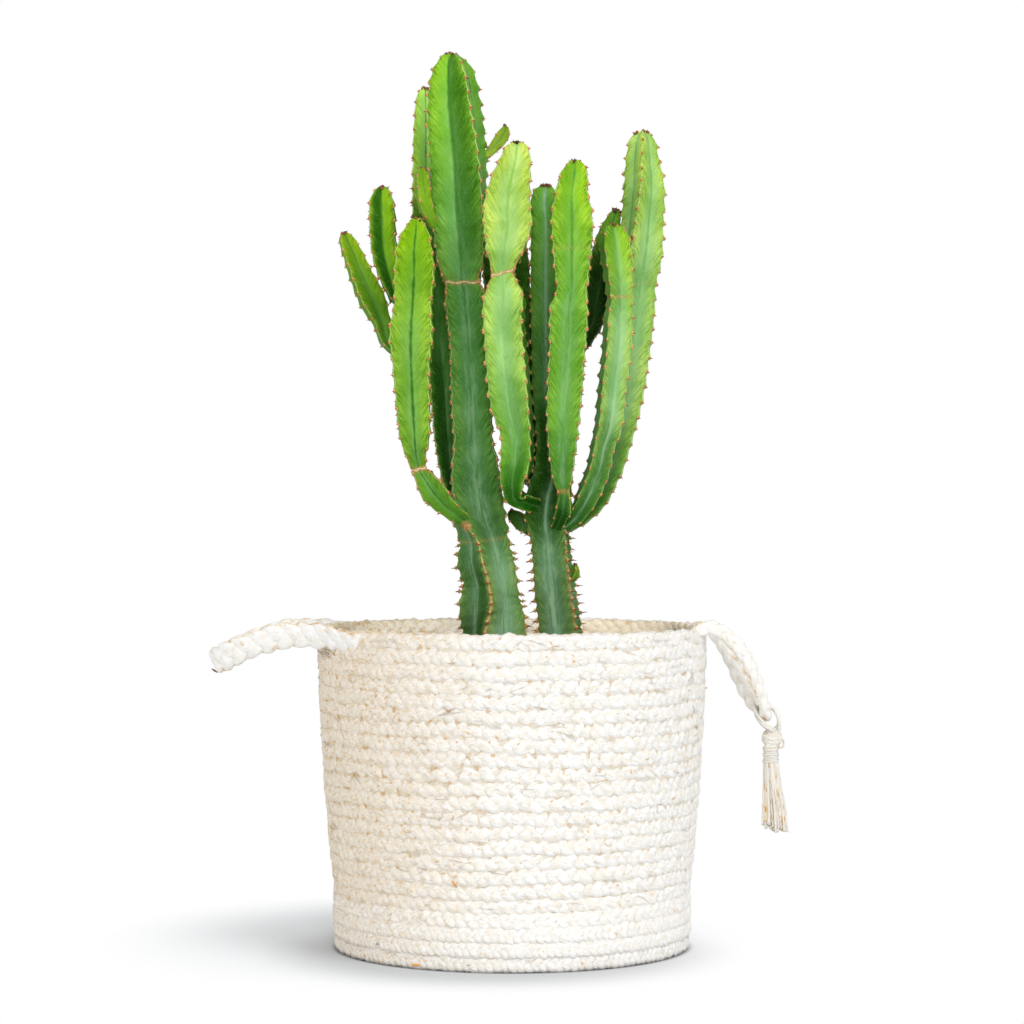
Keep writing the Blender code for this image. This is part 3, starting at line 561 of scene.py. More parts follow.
PAINTED_LIGHT_FADE = 0.02                     # height over which each stretch of painted light and painted shade begins and ends
JOINT_SINK = 0.0004
JOINT_COLLAR = 0.011                 # how far from a joint the rib edges are corky too
BOLD_JOINT = 0.8                     # joints stronger than this have a raised crust
CRUST_RADIUS = 0.0007
TRUNK_CORK = 0.5                     # how corky a trunk's ribs are
TRUNK_FADE = 0.03                    # height over which that begins, down from the trunk's top

YOUNG_EDGE = (220, 232, 158)
OLD_EDGE = (146, 160, 112)
GREEN_VALLEY = (52, 116, 28)

# Colours at the foot, middle and top, of the rib edge and of the valley; feathering, grey bloom, valley line
LOOKS = {
    "left_main_stem": ((110, 145, 107), (97, 153, 80), (114, 174, 36), YOUNG_EDGE, GREEN_VALLEY, 0.6, 0.75),
    "left_back_stem": ((52, 100, 34), (78, 136, 44), (176, 226, 104), YOUNG_EDGE, GREEN_VALLEY, 0.5, 0.3),
    "front_left_branch": (
        (84, 144, 42), (130, 182, 62), (146, 196, 0), YOUNG_EDGE, (34, 98, 14), 0.6, 0.25, (0.85, 0.85),
    ),
    "far_left_branch": ((88, 142, 36), (110, 156, 26), (140, 180, 20), YOUNG_EDGE, GREEN_VALLEY, 0.5, 0.2),
    "upper_left_branch": ((74, 130, 20), (112, 160, 20), (136, 182, 24), YOUNG_EDGE, GREEN_VALLEY, 0.5, 0.1),
    "left_shoot": ((120, 170, 34), (160, 200, 40), (140, 180, 24), YOUNG_EDGE, GREEN_VALLEY, 0.5, 0.1),
    "right_shoot": ((168, 208, 66), (204, 226, 88), (150, 180, 40), YOUNG_EDGE, GREEN_VALLEY, 0.4, 0.1),
    "right_main_stem": (
        (124, 151, 122), (80, 134, 66), (112, 172, 66), OLD_EDGE, (146, 190, 150), 0.55, 0.8, (0.5, 0.95),
    ),
    "trunk_bud": ((110, 150, 50), (130, 170, 50), (150, 180, 50), YOUNG_EDGE, GREEN_VALLEY, 0.3, 0.1),
    "low_stub": ((56, 98, 44), (64, 108, 44), (90, 130, 50), OLD_EDGE, GREEN_VALLEY, 0.4, 0.2),
    "centre_branch": ((60, 148, 4), (162, 208, 112), (194, 224, 112), YOUNG_EDGE, (142, 188, 74), 0.55, 0.42),
    # very dark greens: painted shade of a stem that stands behind the others
    "centre_back_branch": ((38, 76, 24), (46, 92, 28), (74, 128, 36), OLD_EDGE, GREEN_VALLEY, 0.4, 0.2),
    "outer_right_branch": (
        (98, 154, 72), (156, 200, 118), (164, 206, 102), YOUNG_EDGE, (120, 172, 76), 0.6, 0.5,
    ),
    "front_right_branch": (
        (78, 138, 56), (120, 180, 66), (150, 204, 40), YOUNG_EDGE, (76, 138, 40), 0.6, 0.45,
    ),
    "inner_right_branch": (
        (66, 132, 54), (158, 202, 126), (130, 186, 40), YOUNG_EDGE, (150, 190, 110), 0.55, 0.8,
    ),
    # very dark greens: painted shade of a stem that stands behind the others
    "back_right_branch": ((26, 56, 10), (32, 68, 10), (96, 150, 44), OLD_EDGE, GREEN_VALLEY, 0.4, 0.1),
}
OLD_STEMS = (
    "left_main_stem", "left_back_stem", "right_main_stem", "centre_back_branch", "back_right_branch",
    "low_stub",
)
TRUNKS = {"left_main_stem": 0.262, "right_main_stem": 0.270}    # height where the trunk ends
# Corky joint lines: height, slope across x, half thickness, strength
JOINTS = {
    "left_main_stem": ((0.4268, 0.0, 0.0009, 0.9), (0.2610, 0.1, 0.0012, 0.2)),
    "centre_branch": ((0.4310, 0.30, 0.0008, 0.9),),
    "front_left_branch": ((0.3065, 0.25, 0.0012, 0.9),),
    "front_right_branch": ((0.4470, 0.0, 0.0007, 0.45), (0.2925, 0.0, 0.0012, 0.7)),
    "inner_right_branch": ((0.4170, 0.0, 0.0008, 0.5),),
    "outer_right_branch": ((0.4270, 0.1, 0.0006, 0.3),),
}
# Small corky scars on the front: across, height and radius
SCARS = {
    "left_main_stem": ((-0.0288, 0.2696, 0.0028), (-0.0300, 0.2750, 0.0012)),
    "front_left_branch": ((-0.0294, 0.2702, 0.0030),),
}
# The two halves of each face, a before its valley and b after it, in the order of the surface's columns
HALVES = ("0a", "0b", "1a", "1b", "2a", "2b", "3a", "3b")
# Painted light (above 0) and painted shade (below 0) on halves of faces, between two heights in millimetres
PAINTED_FACET_LIGHT = {
    "left_main_stem": {
        (460, 600): {"0a": 0.8}, (430, 470): {"0a": 0.5}, (440, 600): {"0b": -0.6},
        (270, 440): {"0a": 0.25, "0b": 0.15}, (100, 250): {"0a": 1.0, "0b": 0.95, "3b": -0.85, "3a": -0.4},
        (265, 310): {"0a": -0.5, "0b": -0.5},
    },
    "left_back_stem": {
        (480, 600): {"0a": 1.0, "3b": 1.0, "0b": 1.0}, (260, 385): {"0a": -0.8, "3b": -0.9},
        (260, 360): {"0b": -0.3},
    },
    "back_right_branch": {(460, 500): {"0a": 1.0, "0b": 1.0, "3b": 1.0, "1a": 1.0}},
    "upper_left_branch": {(300, 600): {"0a": -1.0, "0b": 1.0}},
    "far_left_branch": {(300, 600): {"0a": -0.4, "3b": -0.5}},
    "outer_right_branch": {
        (440, 600): {"3b": 0.9, "3a": 0.6, "0a": 0.15}, (400, 600): {"0b": 0.45},
        (330, 420): {"3b": 0.6, "0a": 0.25, "0b": 0.9}, (260, 345): {"0a": -0.5, "0b": -0.4},
    },
    "inner_right_branch": {
        (330, 600): {"0b": 0.8}, (420, 600): {"0a": -0.25}, (260, 345): {"0a": -0.5, "0b": -0.45},
    },
    "front_left_branch": {(300, 600): {"0b": 0.25}},
    "front_right_branch": {
        (420, 600): {"0b": 0.65}, (300, 450): {"0a": 0.25}, (300, 420): {"0b": 0.2},
        (250, 290): {"0a": -0.9, "0b": -0.9, "1a": -0.9, "3b": -0.9},
    },
    "right_main_stem": {
        (264, 345): {"0a": -1.0, "0b": -1.0},
        (262, 420): {"1a": -0.9, "1b": -0.9, "2a": -0.9, "2b": -0.9, "3a": -1.0, "3b": -1.0},
        (100, 250): {"0a": 0.3, "0b": 0.2}, (360, 420): {"0a": 0.25, "0b": 0.2},
        (440, 550): {"0a": 0.4, "0b": 0.3},
    },
    "centre_branch": {
        (330, 600): {"0a": 0.25}, (400, 600): {"0b": 0.45},
        (260, 310): {"0a": -0.8, "3a": -0.8, "3b": -0.8}, (260, 318): {"0b": -0.8},
        (260, 450): {"1a": -1.0, "1b": -1.0, "2a": -1.0},
    },
}


def stations_of(name):
    """A stem's rows in metres and degrees; a row without a turn has the turn of the row before."""
    turn, rows = USUAL_TURN, []
    for x, y, z, radius, *given in STEMS[name]:
        turn = given[0] if given else turn
        rows.append((x / 1000, y / 1000, z / 1000, radius / 1000, turn))
    return rows


def around(angle):
    """Unit vectors of a section, as (side, front)."""
    return np.stack([np.sin(angle), np.cos(angle)], -1)


def tooth(length, spots):
    """How far the rib edge stands out, highest just above each pad."""
    if len(spots) < 2:
        return np.zeros_like(length)
    phase = np.interp(length, spots, np.arange(len(spots)))
    bold = np.interp(length, spots, rng.uniform(0.55, 1.35, len(spots)))
    wave = np.cos(math.tau * (phase - TOOTH_LAG) + 0.5 * np.sin(math.tau * phase))
    return bold * wave + NOTCHES * np.sin(length * 2600 + 5 * bold)


class Stem:
    """A stem's lines, the distances at which each rib has its pads, and its skin's points."""

    def __init__(self, name):
        route = smooth_route(stations_of(name), RING_SPACING)
        self.name = name
        self.ribs = TRUNK_RIBS if name == "right_main_stem" else EVEN_RIBS
        self.centres, self.radius, self.turn = route[:, :3], route[:, 3], np.radians(route[:, 4])
        self.along = directions(self.centres)
        self.front = unit(np.array([0.0, -1.0, 0.0]) + self.along * self.along[:, 1:2])
        self.side = np.cross(self.along, self.front)
        self.length = lengths(self.centres)
        self.trunk_top = TRUNKS.get(name, 0.0)
        self.size = np.clip(self.radius / FULL_SIZE, 0.0, 1.15)
        self.steps = RIBBED_STEPS if self.radius.max() > THIN_STEM else PLAIN_STEPS
        self.spots = [self.areoles(0.5 * PAD_SPACING * (i % 2)) for i in range(len(self.ribs))]
        teeth = [tooth(self.length, spots) for spots in self.spots]
        self.rib_radius = [self.radius + TOOTH_HEIGHT * self.size * t for t in teeth]
        self.shape_skin()

    def areoles(self, shift):
        """Distances along the stem of one rib's pads: closer on the trunk and at the tip."""
        spots, at, end = [], FIRST_PAD + shift + rng.uniform(0, 0.002), self.length[-1]
        while at < end - LAST_PAD:
            spots.append(at)
            height = np.interp(at, self.length, self.centres[:, 2])
            step = TRUNK_PAD_SPACING if height < self.trunk_top else PAD_SPACING
            at += min(step, TIP_PAD_SPACING + 0.3 * (end - at)) * rng.uniform(0.9, 1.1)
        return np.array(spots)

    def face_line(self, rib, valley, heart, share):
        """Section points at a share of the way from a rib to its valley, and how far from it they are."""
        run = valley - rib
        reach = np.linalg.norm(run, axis=1)
        normal = unit(np.stack([run[:, 1], -run[:, 0]], -1))
        normal *= np.sign((normal * rib).sum(1))[:, None]
        thick = RIB_HALF_THICKNESS * self.size * (1 - math.exp(-share / RIB_ROUNDING)) * (1 - share ** 3)
        belly = FACE_BELLY * reach * 4 * share * (1 - share)
        spot = rib + run * share + normal * (thick + belly)[:, None]
        # the valley's floor is filled to a shallow bowl
        off = np.abs((spot * np.stack([heart[:, 1], -heart[:, 0]], -1)).sum(1))
        bowl = VALLEY_BOWL * self.radius
        slope = np.abs((run * heart).sum(1)) / np.maximum(reach, TINY)
        fill = (slope + BOWL_FILL) * np.maximum(0.0, bowl - off) ** 2 / np.maximum(2 * bowl, TINY)
        return spot + heart * fill[:, None], (1 - share) * reach * 100

    def shape_skin(self):
        """Points, rim (1 on a rib, 0 in a valley) and grain across, a column for each line along the stem."""
        ribbed = np.minimum(1.0, self.radius / NECK_ROUNDING) ** 2
        valley_radius = self.radius * (1.0 - (1.0 - VALLEY_DEPTH) * ribbed)
        flat, across, rim = [], [], []
        for i, rib in enumerate(self.ribs):
            after = (i + 1) % len(self.ribs)
            width = math.radians((self.ribs[after] - rib) % 360)
            start = math.radians(rib) + self.turn
            heart = around(start + width / 2)
            valley = valley_radius[:, None] * heart
            near = self.rib_radius[i][:, None] * around(start)
            far = self.rib_radius[after][:, None] * around(start + width)
            for end, sign, shares in ((near, -1, self.steps[:-1]), (far, 1, self.steps[:0:-1])):
                for share in shares:
                    spot, reach = self.face_line(end, valley, heart, share)
                    flat.append(spot)
                    across.append(sign * reach + i * FACE_GRAIN)
                    rim.append(np.full(len(spot), 1 - share))
        flat, self.across, self.rim = np.stack(flat, 1), np.stack(across, 1), np.stack(rim, 1)
        sideways, forward = self.side[:, None] * flat[..., :1], self.front[:, None] * flat[..., 1:]
        self.points = self.centres[:, None] + sideways + forward
        near_tip = np.exp((self.length - self.length[-1]) / TIP_REACH)
        near_tip *= min(1.0, self.radius.max() / FULL_TIP)
        rise = (self.rim - 0.75) * near_tip[:, None] * TIP_RISE
        self.points += self.along[:, None] * rise[..., None]

    def above(self, height, slope):
        """How far each point is above a joint line."""
        return self.points[..., 2] - height - slope * (self.points[..., 0] - self.centres[:, None, 0])

    def tints(self):
        """Painted light (above 0) and painted shade (below 0) on the skin; ribs and valleys get less than the
        faces.
        """
        tint = np.zeros_like(self.rim)
        columns = len(self.steps) - 1
        height = self.centres[:, 2:]
        soft = np.minimum(1, 3 * (1 - self.rim)) * np.minimum(1, 0.4 + 5 * self.rim)
        for (low, high), halves in PAINTED_FACET_LIGHT.get(self.name, {}).items():
            above = np.clip((height - low * MM) / PAINTED_LIGHT_FADE + 0.5, 0, 1)
            below = np.clip((high * MM - height) / PAINTED_LIGHT_FADE + 0.5, 0, 1)
            for half, strength in halves.items():
                first = HALVES.index(half) * columns
                tint[:, first:first + columns] += strength * above * below
        return tint * soft

    def cork(self):
        """How corky the skin is, 0 to 1, at joints, at scars and on a trunk's ribs. Sinks the joints."""
        cork = np.zeros_like(self.rim)
        for height, slope, half, strength in JOINTS.get(self.name, ()):
            above = self.above(height, slope)
            near = strength * np.exp(-(above / half) ** 2)
            cork = np.maximum(cork, near)
            if strength > BOLD_JOINT:
                collar = np.exp(-(above / JOINT_COLLAR) ** 2) * np.clip((self.rim - 0.93) / 0.05, 0, 1)
                cork = np.maximum(cork, collar)
            self.points -= unit(self.points - self.centres[:, None]) * (JOINT_SINK * near)[..., None]
        for x, z, radius in SCARS.get(self.name, ()):
            away = np.hypot(self.points[..., 0] - x, self.points[..., 2] - z) / radius
            cork = np.maximum(cork, np.exp(-away ** 4) * (self.points[..., 1] < self.centres[:, None, 1]))
        if self.trunk_top:
            low = np.clip((self.trunk_top - self.points[..., 2]) / TRUNK_FADE, 0, 1)
            cork = np.maximum(cork, low * np.clip((self.rim - 0.90) / 0.08, 0, 1) * TRUNK_CORK)
        return cork

    def crusts(self):
        """The ring of points in which each bold joint cuts the skin."""
        loops = []
        for height, slope, half, strength in JOINTS.get(self.name, ()):
            if strength < BOLD_JOINT:
                continue
            above = self.above(height, slope)
            columns = np.arange(above.shape[1])
            k = np.argmax(above > 0, axis=0)
            low, high = above[k - 1, columns], above[k, columns]
            start, end = self.points[k - 1, columns], self.points[k, columns]
            loops.append(start + (end - start) * (-low / (high - low))[:, None])
        return loops


def make_skin(stem, material):
    cork = stem.cork()
    # the last column of each face ends on its own side of the rib that it shares with the next face
    per_face = 2 * (len(stem.steps) - 1)
    ends = np.roll(stem.across, -1, 1)
    middles = np.arange(len(stem.ribs)) * FACE_GRAIN
    ends[:, per_face - 1::per_face] = 2 * middles - stem.across[:, ::per_face]
    along = stem.length * 100 + STEM_GRAIN * len(bpy.data.meshes)
    share = (stem.length / stem.length[-1])[:, None]
    build = Build()
    # each point carries its painted light and shade as a value
    build.loft(stem.points, stem.across, along, ends, rim=stem.rim, share=share, cork=cork, tint=stem.tints())
    slot = "old_stem" if stem.name in OLD_STEMS else "young_stem"
    build.piece(stem.name + "_skin", material, slot, stem.name)


def add_crust(build, loop):
    """A thin uneven ring of cork on a joint."""
    count = np.arange(len(loop))
    out = unit((loop - loop.mean(0)) * (1, 1, 0))
    rise = np.tile(UP, (len(loop), 1))
    swell = 1 + 0.3 * np.sin(count * 1.7) * np.sin(count * 0.6 + 1)
    wave = 0.0005 * np.sin(count * 0.9)[:, None] * rise
    build.tube(loop + wave, rise * (CRUST_RADIUS * swell)[:, None], out * CRUST_RADIUS, 7, True, tone=-1.0)


def add_spine(build, start, way, length, radius, dark):
    """A short tapering spine, darker towards its point."""
    way = way / np.linalg.norm(way)
    other = unit(np.cross(way, (0.3, 0.2, 0.93)))
    shares = np.array([0.0, 0.45, 1.0])
    widths = radius * np.array([1.0, 0.7, 0.12])[:, None]
    centres = start + way * (shares * length)[:, None]
    tones = np.interp(shares, [0, 0.45, 1], [0.5, 0.5 + 0.3 * dark, 0.55 + 0.45 * dark])
    build.tube(centres, other * widths, np.cross(way, other) * widths, 4, tone=tones)


def add_pad(build, stem, rib, k, rib_radius):
    """A pad on a rib at ring k, with its pair of spines."""
    heading = math.radians(rib) + stem.turn[k]
    along = stem.along[k]
    out = stem.side[k] * math.sin(heading) + stem.front[k] * math.cos(heading)
    wide = np.cross(along, out)
    scale = (0.62 + 0.38 * min(stem.size[k], 1.0)) * rng.uniform(0.85, 1.15)
    spot = stem.centres[k] + out * (rib_radius[k] + 0.0001)
    axes = np.stack([way * half for way, half in zip((out, wide, along), PAD_AXES)]) * scale
    build.ball(spot, axes, tone=rng.uniform(0.0, 0.3))
    reach = rng.uniform(*SHORT_SPINES) * scale
    if stem.centres[k, 2] < stem.trunk_top:
        reach = rng.uniform(*TRUNK_SPINES[stem.name])
    dark = rng.uniform(0.2, 1.0)
    for hand in (-1, 1):
        way = out * 0.75 + wide * hand * rng.uniform(0.45, 0.75) - along * rng.uniform(-0.1, 0.45)
        add_spine(build, spot + out * 0.0003 * scale, way, reach, SPINE_RADIUS * scale, dark)


def add_crown(build, stem):
    """Crowded small pads and spines on the growing tip."""
    up, side, front = stem.along[-1], stem.side[-1], stem.front[-1]
    tip = stem.centres[-1] - up * 0.0006
    for _ in range(15 if stem.size.max() > 0.6 else 5):
        angle = rng.uniform(0, math.tau)
        out = side * math.sin(angle) + front * math.cos(angle)
        far = rng.uniform(0.0004, 0.0054) * min(1.0, stem.size.max())
        start = tip + out * far + up * (rng.uniform(0.0, 0.0012) - 0.35 * max(0.0, far - 0.002))
        axes = np.stack([out, np.cross(up, out), up]) * rng.uniform(0.0006, 0.0013)
        build.ball(start, axes, tone=rng.uniform(0.45, 0.95))
        way = up * rng.uniform(0.5, 1.2) + out * rng.uniform(0.2, 1.0)
        add_spine(build, start, way, rng.uniform(0.0009, 0.0021), 0.0004, 1.0)


def make_spines(stem, material):
    build = Build()
    for loop in stem.crusts():
        add_crust(build, loop)
    for rib, spots, rib_radius in zip(stem.ribs, stem.spots, stem.rib_radius):
        for at in spots:
            k = int(np.argmin(np.abs(stem.length - at)))
            if stem.centres[k, 2] >= LOWEST_PAD:
                add_pad(build, stem, rib, k, rib_radius)
    add_crown(build, stem)
    build.piece(stem.name + "_spines", material, None)


pads = pad_material()
for stem_name, look in LOOKS.items():
    grown = Stem(stem_name)
    make_skin(grown, stem_material(stem_name, *look))
    make_spines(grown, pads)


# ------------------------ braid material
def braid_material(
    name, cream, shade, crease_from=0.46, crease_to=0.90, gold=0.8, painted_left_shade=0.0, side=0.0, marks=0.75,
):
    """Pale plant fibre: fine strands along the grain, golden in the creases, partly the fibre's own colour
    and partly painted shade, with a few darker fibres.

    What is golden or dark grows stronger to the left, as painted shade on the side away from the key light;
    side, from 0 to 1, makes it alike on all sides.
    """
    n = Surface(name, 0.8, specular=0.1)
    across, along = n.grain()
    crease, inside = n.attribute("crease"), n.attribute("inside")
    x = n.split(n.place())[0]
    # left: how much painted shade the basket's left side gets, away from the key light
    left = n.span(x, 0.02, -0.12, side, 1.0)
    fibre = n.streaks(across, along, (9.0, 1.5), 0.0, 3.0, 0.7, 0.8)
    hair = n.streaks(across, along, (26.0, 3.4), 5.0, 2.0, 0.65, 0.6)
    fleck = n.streaks(across, along, (6.0 + 2.0 * side, 1.8 - 1.1 * side), 11.0, 1.0, 0.5)
    mark = n.streaks(across, along, (13.0, 1.7), 17.0, 2.0, 0.5)
    cloud = n.noise(n.place(), 60.0, 2.0, 0.5)
    dash = n.noise(n.place(), 190.0, 2.0, 0.6)

    tone = n.fade(fibre, 0.58, 0.38, cream, shade)
    tone = n.mix(n.span(cloud, 0.52, 0.72, 0.0, 0.35), tone, shade)
    # painted shade on the left: a warmer, darker tone
    tone = n.mix(n.mul(left, painted_left_shade), tone, rgb(238, 220, 192))
    # inner faces of the lining courses: a warmer tone, painted light bounced inside the basket
    warm = n.fade(x, -0.02, 0.06, rgb(255, 244, 222), rgb(255, 230, 188))
    tone = n.mix(n.span(inside, 0.0, 1.0, 0.0, 0.55), tone, warm)
    line = n.mul(n.span(hair, 0.37, 0.27), n.span(fibre, 0.62, 0.42))
    tone = n.mix(n.mul(line, n.span(left, 0.0, 1.0, 0.30, 0.95)), tone, rgb(220, 182, 128))
    mark = n.mul(n.span(mark, 0.54, 0.66), n.span(left, 0.0, 1.0, marks * 0.25, marks))
    tone = n.mix(mark, tone, rgb(228, 198, 152))
    fleck = n.span(n.add(fleck, n.mul(left, 0.03)), 0.70, 0.76, 0.0, 0.7 - 0.45 * side)
    tone = n.mix(fleck, tone, rgb(216, 172, 112))

    # golden creases: partly the fibre's own colour, partly painted shade where the braid is deep; more of it
    # on the left and on the inner faces
    crease = n.add(n.add(crease, n.mul(left, 0.15)), n.mul(inside, 0.35))
    deep = n.mul(n.span(crease, crease_from, crease_to), n.span(dash, 0.44, 0.60, gold * 0.25, gold))
    deep = n.mul(deep, n.span(left, 0.0, 1.0, 0.70, 1.0))
    n.colour(n.mix(deep, tone, n.fade(dash, 0.52, 0.66, rgb(238, 208, 156), rgb(214, 166, 100))))
    n.rough(n.span(hair, 0.3, 0.7, 0.72, 0.92))
    n.bump(n.add(n.mul(fibre, 0.7), n.mul(hair, 0.5)), 0.0013, 0.8)
    return n.owner


# ------------------------ braids
def ripple(length, total, strength, waves):
    """A gentle random wave that joins up after the total length."""
    out = np.zeros_like(length)
    for wave in waves:
        turns = max(1, round(total / wave))
        out += np.sin(math.tau * turns * length / total + rng.uniform(0, math.tau)) * rng.uniform(0.5, 1.0)
    return strength * out / math.sqrt(len(waves))


def resample(values, points, spot, closed):
    """Values given at the points, read at shares of the whole length."""
    if closed:
        values, points = np.vstack([values, values[:1]]), np.vstack([points, points[:1]])
    at = lengths(points)
    return np.stack([np.interp(spot, at / at[-1], values[:, i]) for i in range(3)], 1)


def braid(
    build, centres, out, up, half_width, half_depth, period, closed=False, sides=8, per_period=9,
    fullness=1.0, loose=1.0, taper=None, lining=False, slim=0.58, plump=0.60,
):
    """Three strands woven flat along the centres; half_width and half_depth hold the whole braid.

    slim and plump are a strand's width and depth as shares of the braid's, and loose is its unevenness.
    """
    strand_wide, strand_deep = half_width * slim, half_depth * plump
    swing, weave = half_width - strand_wide, half_depth - strand_deep
    total = lengths(np.vstack([centres, centres[:1]]) if closed else centres)[-1]
    count = max(1, round(total / period))
    steps = count * per_period
    spot = np.arange(steps + (0 if closed else 1)) / steps
    out, up = unit(resample(out, centres, spot, closed)), unit(resample(up, centres, spot, closed))
    line = resample(centres, centres, spot, closed)
    length = spot * total
    turn = spot * count * math.tau + rng.uniform(0, math.tau)
    size = np.ones_like(spot) if taper is None else taper(spot)
    for strand in range(3):
        phase = turn + strand * math.tau / 3
        drift = ripple(length, total, 0.07 * half_width * loose, (0.009, 0.021, 0.034, 0.055))
        lift = ripple(length, total, 0.13 * half_depth * loose, (0.011, 0.017, 0.027, 0.043))
        swell = 1 + ripple(length, total, 0.13 * loose, (0.008, 0.013, 0.024, 0.039))
        sideways = (swing * np.sin(phase) + drift) * size
        depth = (weave * np.sin(2 * phase) + lift) * size ** 2
        path = line + up * sideways[:, None] + out * depth[:, None]
        way = directions(path, closed)
        wide = unit(np.cross(out, way))
        over = 1 + 0.10 * np.sin(2 * phase)
        deep = np.cross(way, wide) * (strand_deep * over * swell * size ** 2)[:, None]
        wide = wide * (strand_wide * swell * size * fullness)[:, None]
        stand = depth[:, None] + oval(sides)[1] * np.linalg.norm(deep, axis=1)[:, None]
        crease = 1 - np.clip(np.abs(stand) / (half_depth * 0.95), 0, 1)
        inside = np.clip(stand / (half_depth * 0.5), 0, 1) * lining
        shift = strand * 3.1 + rng.uniform(0, 9)
        build.tube(path, wide, deep, sides, closed, shift, crease=crease, inside=inside)


def loop_at(radius, height, wave=None, corners=180):
    """A level loop round the basket: centres, outward and upward directions."""
    angle = corner_angles(corners)
    rise = wave(angle, height) if wave else 0.0
    return on_circle(angle, radius, height + rise), on_circle(angle, 1.0, 0.0), np.tile(UP, (corners, 1))


WAVES = [
    (turns, rng.uniform(0, math.tau), rng.uniform(20, 60), rng.uniform(0.4, 1.0))
    for turns in (2, 3, 5, 8, 13, 19)
]


def course_wave(angle, height):
    """How far a course wanders up and down; courses above each other wander alike."""
    rise = sum(size * np.sin(turns * angle + start + height * drift) for turns, start, drift, size in WAVES)
    calm = min(1.0, max(0.0, height - 0.020) / 0.03)
    return 0.00042 * rise * calm


# ------------------------ basket
wall_low, wall_high = box_of("basket_wall")
base_low, base_high = box_of("basket_base")
RIM_RADIUS = wall_high[0]
FOOT_RADIUS = RIM_RADIUS - 0.0107
BASE_RADIUS = base_high[0]
WALL_BULGE = 1.8
BRAID_THICKNESS = 0.008
COURSES = 19
LINED_COURSES = 3                    # courses under the rim that are braided on the inside too
COURSE = (wall_high[2] - wall_low[2]) / COURSES
HALF_DEPTH = 0.0023
HALF_WIDTH = 0.0059
TOP_SLIMMING = 0.94                  # the top course is a little narrower, to end at the rim
BRAID_PERIOD = 0.0205
INNER_PERIOD = 0.0290
CREASE_DEPTH = 0.0009
BASE_COURSES = 4
BASE_COURSE = (base_high[2] - base_low[2]) / BASE_COURSES
BASE_INSETS = (0.0010, 0.0002, 0.0, 0.0003)
BAND_COURSES = 3                     # lowest courses, with a finer and smoother braid
BAND_PERIOD = 0.0140
BAND_HALF_WIDTH = 0.0056
FLOOR_RINGS = 12
STRAY_FIBRES = 450
FIBRE_LENGTHS = (0.005, 0.016)       # shortest and longest, as are the pairs below
FIBRE_HALF_WIDTHS = (0.00014, 0.00026)
STITCH_HALF_WIDTHS = (0.0017, 0.0021)
STITCH_HALF_DEPTH = 0.0003
GOLDEN_LEFT, GOLDEN_RIGHT = 0.55, 0.22    # shares of the loose fibres that are golden
STITCHED_RIM = ((-57, -29), (38, 68))    # degrees from the front
STITCH_SPACING = 1.15


def wall_radius(height):
    share = np.clip((height - wall_low[2]) / (wall_high[2] - wall_low[2]), 0, 1)
    return FOOT_RADIUS + (RIM_RADIUS - FOOT_RADIUS) * (1 - (1 - share) ** WALL_BULGE)


def make_backing(build, outer, inner, heights, crease, corners=96):
    """A closed sleeve of packed fibre that the courses are sewn to; its golden crease colour is painted shade
    seen between the courses.
    """
    radius, height = np.concatenate([outer, inner[::-1]]), np.concatenate([heights, heights[::-1]])
    rings = on_circle(corner_angles(corners)[:, None], radius, height)
    across = np.arange(len(radius) + 1) * 0.35
    build.loft(rings, across, np.arange(corners) * 0.8, closed=True, crease=crease, inside=0.0)


def wall_backing(build):
    """The sleeve inside the wall: ridged between the courses, and thinner where braid lines it."""
    heights, ridges = [wall_low[2] + 0.0012], [0.0024]
    for row in range(COURSES):
        for share in (0.0, 0.25, 0.5, 0.75):
            height = wall_low[2] + COURSE * (row + share)
            if wall_low[2] + 0.002 < height < wall_high[2] - 0.004:
                heights.append(height)
                ridges.append(0.0026 if row >= COURSES - LINED_COURSES else 0.0014 * abs(2 * share - 1) ** 2)
    outer = [wall_radius(z) - CREASE_DEPTH - 0.0010 * (z < wall_low[2] + COURSE) for z in heights]
    inner = [wall_radius(z) - BRAID_THICKNESS + ridge for z, ridge in zip(heights, ridges)]
    make_backing(build, outer, inner, heights, 0.8)


def make_basket_wall(material):
    builds = [Build(), Build(), Build()]
    for row in range(COURSES):
        height = wall_low[2] + COURSE * (row + 0.5)
        top = row == COURSES - 1
        wave = None if top else course_wave
        half_width = HALF_WIDTH * (TOP_SLIMMING if top else 1.0)
        depth = HALF_DEPTH * rng.uniform(0.94, 1.04)
        line, out, up = loop_at(wall_radius(height) - depth - rng.uniform(0, 0.0004), height, wave)
        period = BRAID_PERIOD * rng.uniform(0.88, 1.12)
        braid(
            builds[row * 3 // COURSES], line, out, up, half_width, depth, period,
            closed=True, slim=0.63, plump=0.84, loose=1.4,
        )
        if row >= COURSES - LINED_COURSES:
            line, out, up = loop_at(wall_radius(height) - BRAID_THICKNESS + HALF_DEPTH, height, wave)
            braid(
                builds[2], line, -out, up, half_width, HALF_DEPTH, INNER_PERIOD,
                closed=True, sides=7, per_period=12, plump=0.8, loose=1.4, lining=True,
            )
    wall_backing(builds[0])
    for i, build in enumerate(builds):
        build.piece(f"wall_courses_{i + 1}", material, "braid", "basket_wall")


